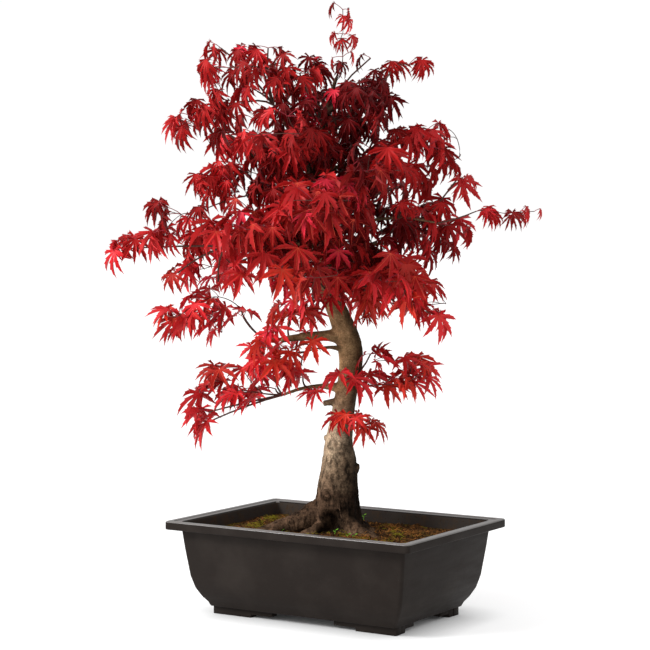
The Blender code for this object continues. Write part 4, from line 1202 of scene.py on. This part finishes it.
class Crown:
    """Every twig, stalk and leaf of the tree, in the tree's frame."""

    def __init__(self, leaf):
        self.leaf = leaf
        self.twigs = []
        self.stalks = []
        self.leaves = []
        self.joints = []

    def grow(self, row):
        """Join seeded points to the nearest knot, then hang leaves on them."""
        rng = random.Random(SEED + 7 * row[1] + row[2])
        space = Space(mass_middle(row), row[5], row[2], row[6])
        knots = start_knots(row)
        points = knot_points(row, max(3, round(row[8] * self.leaf.fullness)), rng)
        self.spread(space, list(knots), points, rng)
        for point in inner_points(row, rng):
            self.sprig(row, point, row[6], knots, rng)
        for name, x, y, z, scale in SPRIGS:
            if name == row[0]:
                self.sprig(row, Vector((x, y, z)), scale, knots, rng)

    def sprig(self, row, point, scale, knots, rng):
        """One knot of leaves on its own twig beside a bough."""
        compass = row[2] + rng.uniform(-30, 30)
        space = Space(point - Vector((0, 0, 12)), (42, 42, 36), compass, scale)
        self.spread(space, list(knots), [point], rng)

    def spread(self, space, knots, todo, rng):
        roots = len(knots)
        parents = [None] * roots
        while todo:
            todo.sort(key=lambda p: min((p - knot[0]).length for knot in knots))
            point = todo.pop(0)
            parent = self.nearest_free(point, knots, parents)
            parents.append(parent)
            knots.append(self.add_twig(knots[parent], point))
        for index in range(roots, len(knots)):
            self.add_spray(knots, index, space, index not in parents, rng)

    def fill_trunk(self):
        """Short shoots that the trunk itself bears inside the crown."""
        rng = random.Random(SEED)
        for number in range(INNER_SHOOTS):
            height = INNER_FROM + 8.0 + (TRUNK_LINE[-4][0] - INNER_FROM) * number / INNER_SHOOTS
            x, y, girth = trunk_at(height)
            start = Vector((x, y, height))
            compass = 137.5 * number + rng.uniform(-20, 20)
            end = start + polar(compass, girth + rng.uniform(24.0, 34.0)) + Vector((0, 0, 14.0))
            further = end + polar(compass + rng.uniform(-40, 40), 24.0) + Vector((0, 0, 4.0))
            space = Space((end + further) / 2, (46, 46, 36), compass, 0.92)
            self.spread(space, [[start, polar(compass, 1.0), 1.9]], [end, further], rng)

    def nearest_free(self, point, knots, parents):
        """Nearest knot that the new twig would leave at a natural angle."""
        order = sorted(range(len(knots)), key=lambda i: (point - knots[i][0]).length)
        for index in order[:4]:
            line = point - knots[index][0]
            if line.length > 1.0 and line.angle(knots[index][1]) < 1.75 and parents.count(index) < 4:
                return index
        return order[0]

    def add_twig(self, parent, point):
        """A tapering twig from one knot to a new one, which it returns."""
        start, along, radius = parent
        line = bend_line(start, along, point, 4)
        thick = min(radius * 0.8, 1.5)
        thin = max(0.55, thick * 0.68)
        radii = [thick + (thin - thick) * i / 4 for i in range(5)]
        self.twigs.append((line, radii))
        return [point, (line[-1] - line[-2]).normalized(), thin]

    def add_spray(self, knots, index, space, ends, rng):
        """A pair of leaves at a knot, and one young leaf where the shoot ends."""
        tone = self.spray_tone(knots[index][0], rng)
        for side in (1, -1):
            self.add_leaf(knots[index], space, side, 1.0, tone, rng)
        if ends:
            young = "pink" if rng.random() < 0.16 else tone
            self.add_leaf(knots[index], space, 0, rng.uniform(0.6, 0.9), young, rng)

    def spray_tone(self, place, rng):
        """Tone of a spray, from painted light and shade by place and a random spread: darker inside and at
        the top, brighter low down and to the right.
        """
        # painted shade inside the crown, near the trunk
        inside = math.exp(-((place.x - 24.0) ** 2 + (place.y * 0.6) ** 2) / 6000.0)
        inside *= max(0.0, min(1.0, (735.0 - place.z) / 60.0))
        low = max(0.0, min(1.0, (500.0 - place.z) / 90.0))
        high = max(0.0, min(1.0, (place.z - 590.0) / 70.0))
        right = max(0.0, min(1.0, (place.x - 60.0) / 60.0))
        light = 0.59 - 0.70 * inside * (1.0 - 0.85 * low)
        light += 0.24 * low + 0.04 * right - 0.05 * high + rng.uniform(-0.30, 0.30)
        if low > 0.6 and rng.random() < 0.3:
            return "orange" if light > 0.62 else "rust"
        return ("maroon", "deep", "crimson", "bright", "scarlet")[max(0, min(4, int(light * 5.0)))]

    def add_leaf(self, knot, space, side, size, tone, rng):
        """Hang a leaf on a knot, trying several headings."""
        scale = space.scale * size * rng.uniform(0.78, 1.08)
        blade = self.leaf.blade / MM * scale
        stalk_length = self.leaf.stalk / MM * scale * rng.uniform(0.6, 1.25)
        for _ in range(LEAF_TRIES):
            stalk, along, facing = leaf_heading(knot, space, side, rng)
            joint = knot[0] + stalk * stalk_length
            tip = joint + along * blade * 0.9
            heart = joint + along * blade * 0.5
            aside = along.cross(facing) * blade * 0.62
            spread_points = (joint, heart, tip, heart + aside, heart - aside)
            if not space.holds(tip) or self.in_wood(heart) or any(open_sky(p) for p in spread_points):
                continue
            if all((joint - other).length > 11.0 * scale for other in self.joints):
                break
        else:
            return
        self.joints.append(joint)
        rising = (stalk + Vector((0, 0, 0.35))).normalized()
        self.stalks.append((bend_line(knot[0], rising, joint, 3), scale))
        hangs = joint.z > (560.0 if space.near() else 440.0) + rng.uniform(-40, 40)
        curl = rng.uniform(0.6, 1.4) if hangs else rng.uniform(0.15, 0.8)
        fan = rng.uniform(0.58, 0.88) if hangs else rng.uniform(0.85, 1.0)
        pose = (curl, rng.uniform(0.3, 0.6), fan)
        self.leaves.append((joint, along, facing, blade, pose, tone, rng.randrange(FORMS)))

    def in_wood(self, point):
        x, y, radius = trunk_at(point.z)
        return math.hypot(point.x - x, point.y - y) < radius + 3.0


FORMS = 8
LEAF_TRIES = 14


def leaf_heading(knot, space, side, rng):
    """Stalk direction, middle-lobe direction and facing of a leaf."""
    point, twig = knot[0], knot[1]
    gap = point - space.middle
    out = Vector((gap.x / space.half[0], gap.y / space.half[1], 0.0)) * 0.45
    out += 0.9 * polar(space.compass, 1.0) + 0.6 * Vector((twig.x, twig.y, 0.0))
    angle = math.atan2(out.y, out.x) + math.radians(side * rng.uniform(25, 75) + rng.uniform(-22, 22))
    upright = twig.z > 0.8
    if upright:
        crossed = 75.0 * (round(point.z / 15.0) % 2)
        angle = math.radians(crossed + (180.0 if side < 0 else 0.0) + rng.uniform(-25, 25))
    out = Vector((math.cos(angle), math.sin(angle), 0.0))
    rise = math.radians(rng.uniform(-12, 40))
    droop = math.radians(rng.uniform(34, 78) if point.z > 440.0 else rng.uniform(12, 60))
    if space.near():
        droop = math.radians(rng.uniform(38, 76))
    elif upright and side == 0:
        droop = math.radians(rng.uniform(-60, -25))
    stalk = out * math.cos(rise) + Vector((0, 0, math.sin(rise)))
    along = out * math.cos(droop) + Vector((0, 0, -math.sin(droop)))
    facing = out * math.sin(droop) + Vector((0, 0, math.cos(droop)))
    facing += along.cross(facing) * rng.uniform(-0.6, 0.6)
    return stalk, along, facing.normalized()


def blade_form(rng):
    """Flat leaf of seven toothed lobes: points, faces, tone marks, spine."""
    points = [(0.0, 0.0, 0.0)]
    faces, marks, spine = [], [], {0}
    lobes = [(a + rng.uniform(-5, 5), size * rng.uniform(0.92, 1.08), cuts) for a, size, cuts in LOBES]
    edges = [(lobes[0][0] - 34.0, 0.05)]
    edges += [((a[0] + b[0]) / 2, 0.20 * min(a[1], b[1]) + 0.02) for a, b in zip(lobes, lobes[1:])]
    edges.append((lobes[-1][0] + 34.0, 0.05))
    for angle, reach in edges:
        place = polar(angle, reach)
        points.append((place.x, place.y, 0.035))
    for number, (angle, size, cuts) in enumerate(lobes):
        add_lobe(points, faces, marks, spine, number, polar(angle, size), cuts, rng)
    return points, faces, marks, spine


def add_lobe(points, faces, marks, spine, number, reach, cuts, rng):
    """One lobe: a folded strip each side of its rib, with toothed edges."""
    across = Vector((-reach.y, reach.x, 0.0))
    hook = rng.uniform(-0.10, 0.10)
    wide = LOBE_WIDTH * (1.15 if cuts < 4 else 1.0) * rng.uniform(0.92, 1.08)
    right, left = number + 1, number + 2
    rib = [0]
    last = 0
    for share, width in LOBE_CUTS[cuts]:
        middle = reach * share + across * hook * share ** 2
        here = len(points)
        points.append((middle.x, middle.y, 0.0))
        spine.add(here)
        if width <= 0.0:
            faces += [(last, right, here), (last, here, left)]
        else:
            made = []
            for way in (-1.0, 1.0):
                tooth = middle + across * way * wide * width + reach * 0.035
                inner = middle.lerp(tooth, TOOTH)
                made += [len(points), len(points) + 1]
                points.append((tooth.x, tooth.y, wide * width))
                points.append((inner.x, inner.y, wide * width * TOOTH))
            faces += [(last, right, made[0], here), (last, here, made[2], left)]
            right, left = made[1], made[3]
        marks += [0, 0]
        last = here
        rib.append(here)
    if cuts > 2:
        add_rib(points, faces, marks, rib, across)


def add_rib(points, faces, marks, rib, across):
    """A narrow paler strip along the fold."""
    side = across.normalized() * 0.011
    for start, end in zip(rib[:-2], rib[1:-1]):
        a, b = Vector(points[start]), Vector(points[end])
        first = len(points)
        for place in (a - side, b - side * 0.8, b + side * 0.8, a + side):
            points.append((place.x, place.y, 0.007))
        faces.append((first, first + 1, first + 2, first + 3))
        marks.append(1)


def bent(points, size, curl, fold, fan):
    """Blade points in millimetres, curled down all round like an umbrella."""
    flat = np.array(points)
    reach = np.hypot(flat[:, 0], flat[:, 1])
    angle = np.arctan2(flat[:, 1], flat[:, 0]) * fan
    rise = flat[:, 2] * fold / 0.45
    arc = np.sin(curl * reach) / curl
    drop = (1.0 - np.cos(curl * reach)) / curl
    lean = rise * np.sin(curl * reach)
    out = arc + lean
    height = rise * np.cos(curl * reach) - drop
    return np.stack([out * np.cos(angle), out * np.sin(angle), height], axis=1) * size


def tubes(lines, sides):
    """Points and faces of many thin tapering tubes, in the tree's frame."""
    points, faces = [], []
    for line, radii in lines:
        base = len(points)
        for i, place in enumerate(line):
            along = line[min(i + 1, len(line) - 1)] - line[max(i - 1, 0)]
            turn = along.to_track_quat("Z", "X")
            for side in range(sides):
                angle = math.tau * side / sides
                ring = Vector((math.cos(angle), math.sin(angle), 0.0)) * radii[i]
                points.append(place + turn @ ring)
        for i in range(len(line) - 1):
            for side in range(sides):
                a, b = base + i * sides + side, base + i * sides + (side + 1) % sides
                faces.append((a, b, b + sides, a + sides))
        faces.append(tuple(range(base + sides - 1, base - 1, -1)))
        faces.append(tuple(range(len(points) - sides, len(points))))
    return points, faces


CROWNS = []


def the_crown(context):
    """The crown's plan, grown once and then used for twigs and leaves."""
    if not CROWNS:
        crown = Crown(context.scene.bonsai_leaf)
        for row in MASSES:
            crown.grow(row)
        crown.fill_trunk()
        CROWNS.append(crown)
    return CROWNS[0]


def foliage_nodes():
    return ["foliage_" + row[0] for row in MASSES]


class BONSAI_OT_twigs(bpy.types.Operator):
    """Grow the twigs and the leaf stalks"""

    bl_idname = "bonsai.twigs"
    bl_label = "Twigs"

    def execute(self, context):
        tree = context.scene.bonsai_tree
        crown = the_crown(context)
        self.tube_piece("twigs", crown.twigs, 5, tree.twig, 0.7)
        stalks = []
        for line, scale in crown.stalks:
            thick = 0.35 + 0.25 * scale
            stalks.append((line, [thick, thick * 0.85, thick * 0.8, thick * 0.95]))
        self.tube_piece("leaf_stalks", stalks, 4, tree.stalk, 0.5)
        return {"FINISHED"}

    def tube_piece(self, name, lines, sides, colour, rough):
        points, faces = tubes(lines, sides)
        obj = mesh_piece(name, [tree_to_pot(*p) for p in points], faces)
        pick(obj)
        bpy.ops.object.shade_smooth_by_angle(angle=math.radians(80))
        obj.data.materials.append(new_material(name, colour, rough, 0.25))
        finish_piece(obj, "red_foliage", *foliage_nodes())


class BONSAI_OT_leaves(bpy.types.Operator):
    """Hang the leaves in sprays, each spray in its own red"""

    bl_idname = "bonsai.leaves"
    bl_label = "Leaves"

    def execute(self, context):
        crown = the_crown(context)
        rng = random.Random(SEED)
        forms = [blade_form(rng) for _ in range(FORMS)]
        made = leaf_materials(context.scene.bonsai_leaf)
        points, faces, tones, folds = [], [], [], []
        for joint, along, facing, size, pose, tone, form in crown.leaves:
            shape, sides, marks, spine = forms[form]
            x, z = along, facing
            y = z.cross(x)
            turn = np.array([x, y, z])
            placed = bent(shape, size, *pose) @ turn + np.array(joint)
            base = len(points)
            points.extend(placed)
            faces += [tuple(base + v for v in face) for face in sides]
            ribs = "rib" if pose[2] > 0.9 else tone
            tones += [TONES.index(ribs if mark else tone) for mark in marks]
            folds += [base + v for v in spine]
        leaves = mesh_piece("leaves", [tree_to_pot(*p) for p in points], faces)
        for tone in TONES:
            leaves.data.materials.append(made[tone])
        leaves.data.polygons.foreach_set("material_index", tones)
        self.crease(leaves.data, folds)
        finish_piece(leaves, "red_foliage", *foliage_nodes())
        return {"FINISHED"}

    def crease(self, mesh, folds):
        """Smooth blades with a sharp fold along each rib."""
        mesh.polygons.foreach_set("use_smooth", [True] * len(mesh.polygons))
        on_fold = np.zeros(len(mesh.vertices), bool)
        on_fold[folds] = True
        ends = np.zeros(len(mesh.edges) * 2, np.int32)
        mesh.edges.foreach_get("vertices", ends)
        sharp = on_fold[ends.reshape(-1, 2)].all(axis=1)
        mark = mesh.attributes.new("sharp_edge", "BOOLEAN", "EDGE")
        mark.data.foreach_set("value", sharp)
        mesh.update()


# ---- studio ------------------------------------------------------------
def add_area(name, place, aim, size, power):
    deselect()
    bpy.ops.object.light_add(type="AREA", location=place)
    lamp = bpy.context.object
    lamp.name = name
    lamp.data.shape = "DISK"
    lamp.data.size = size
    lamp.data.energy = power
    lamp.rotation_euler = (Vector(place) - Vector(aim)).to_track_quat("Z", "Y").to_euler()


class BONSAI_OT_studio(bpy.types.Operator):
    """Lay a plain pale floor, soft lights and the camera"""

    bl_idname = "bonsai.studio"
    bl_label = "Studio"

    def execute(self, context):
        studio = context.scene.bonsai_studio
        deselect()
        bpy.ops.mesh.primitive_circle_add(vertices=96, radius=40.0, fill_type="NGON", location=(0, 0, 0))
        floor = context.object
        floor.name = "studio_floor"
        pale = new_material("studio_floor", studio.floor, 0.9, 0.1)
        shader_of(pale).inputs["Emission Color"].default_value = (1.0, 1.0, 1.0, 1.0)
        # painted contact shadow: the floor's glow is dimmed where things stand near it
        above = add_node(pale, "ShaderNodeAmbientOcclusion")
        above.inputs["Distance"].default_value = studio.contact
        glow = add_node(pale, "ShaderNodeMath", operation="MULTIPLY")
        link(pale, above.outputs["AO"], glow.inputs[0])
        glow.inputs[1].default_value = studio.glow
        link(pale, glow.outputs[0], shader_of(pale).inputs["Emission Strength"])
        floor.data.materials.append(pale)
        turn = math.radians(context.scene.bonsai_tree.crown_turn)
        right = Vector((math.cos(turn), math.sin(turn), 0.0))
        near = Vector((math.sin(turn), -math.cos(turn), 0.0))
        middle = (0.0, 0.0, 0.42)
        add_area("key", -2.1 * right + 1.0 * near + Vector((0, 0, 1.7)), middle, 0.9, studio.key)
        add_area("fill", 1.9 * right + 1.2 * near + Vector((0, 0, 1.1)), middle, 1.2, studio.fill)
        context.scene.world = self.surround(studio, 0.8 * near - 1.6 * right + Vector((0, 0, 0.6)))
        context.scene.view_settings.view_transform = "Standard"
        self.add_camera(context, right, studio)
        return {"FINISHED"}

    def surround(self, studio, bright_side):
        """White all round, with softly more light from one side."""
        world = bpy.data.worlds.new("surround")
        world.use_nodes = True
        backdrop = world.node_tree.nodes["Background"]
        backdrop.inputs["Color"].default_value = (1.0, 1.0, 1.0, 1.0)
        coords = add_node(world, "ShaderNodeTexCoord")
        toward = add_node(world, "ShaderNodeVectorMath", operation="DOT_PRODUCT")
        link(world, coords.outputs["Generated"], toward.inputs[0])
        toward.inputs[1].default_value = bright_side.normalized()
        lit = add_node(world, "ShaderNodeMath", operation="MAXIMUM")
        link(world, toward.outputs["Value"], lit.inputs[0])
        lit.inputs[1].default_value = 0.0
        slope = add_node(world, "ShaderNodeMath", operation="MULTIPLY_ADD")
        link(world, lit.outputs[0], slope.inputs[0])
        slope.inputs[1].default_value = studio.slope
        slope.inputs[2].default_value = studio.sky
        seen = add_node(world, "ShaderNodeLightPath")
        strength = add_node(world, "ShaderNodeMix", data_type="FLOAT")
        link(world, seen.outputs["Is Camera Ray"], strength.inputs[0])
        link(world, slope.outputs[0], strength.inputs[2])
        strength.inputs[3].default_value = studio.backdrop
        link(world, strength.outputs[0], backdrop.inputs["Strength"])
        return world

    def add_camera(self, context, right, studio):
        fall = math.radians(CAMERA_FALL)
        turn = math.radians(context.scene.bonsai_tree.crown_turn)
        back = Vector((math.sin(turn) * math.cos(fall), -math.cos(turn) * math.cos(fall), math.sin(fall)))
        up = back.cross(right)
        bpy.ops.object.camera_add(location=CAMERA_PLACE)
        camera = context.object
        camera.rotation_euler = Matrix((right, up, back)).transposed().to_euler()
        camera.data.lens = studio.lens
        camera.data.sensor_width = 36.0
        camera.data.clip_end = 200.0
        context.scene.camera = camera


class BONSAI_PT_panel(bpy.types.Panel):
    """Lists the pieces of the bonsai"""

    bl_idname = "BONSAI_PT_panel"
    bl_label = "Bonsai"
    bl_space_type = "VIEW_3D"
    bl_region_type = "UI"
    bl_category = "Bonsai"

    def draw(self, context):
        for piece in PIECES:
            self.layout.operator(piece.bl_idname)


PIECES = (
    BONSAI_OT_pot, BONSAI_OT_soil, BONSAI_OT_litter, BONSAI_OT_limbs,
    BONSAI_OT_twigs, BONSAI_OT_leaves, BONSAI_OT_studio,
)
SETTINGS = {
    "bonsai_pot": PotSettings, "bonsai_ground": GroundSettings, "bonsai_tree": TreeSettings,
    "bonsai_leaf": LeafSettings, "bonsai_studio": StudioSettings,
}


def register():
    for name, group in SETTINGS.items():
        bpy.utils.register_class(group)
        setattr(bpy.types.Scene, name, PointerProperty(type=group))
    for cls in PIECES + (BONSAI_PT_panel,):
        bpy.utils.register_class(cls)


def unregister():
    for cls in reversed(PIECES + (BONSAI_PT_panel,)):
        bpy.utils.unregister_class(cls)
    for name, group in SETTINGS.items():
        delattr(bpy.types.Scene, name)
        bpy.utils.unregister_class(group)


def main():
    register()
    bpy.ops.bonsai.studio()
    bpy.ops.bonsai.pot()
    bpy.ops.bonsai.soil()
    bpy.ops.bonsai.litter()
    bpy.ops.bonsai.limbs()
    bpy.ops.bonsai.twigs()
    bpy.ops.bonsai.leaves()


if __name__ == "__main__":
    main()
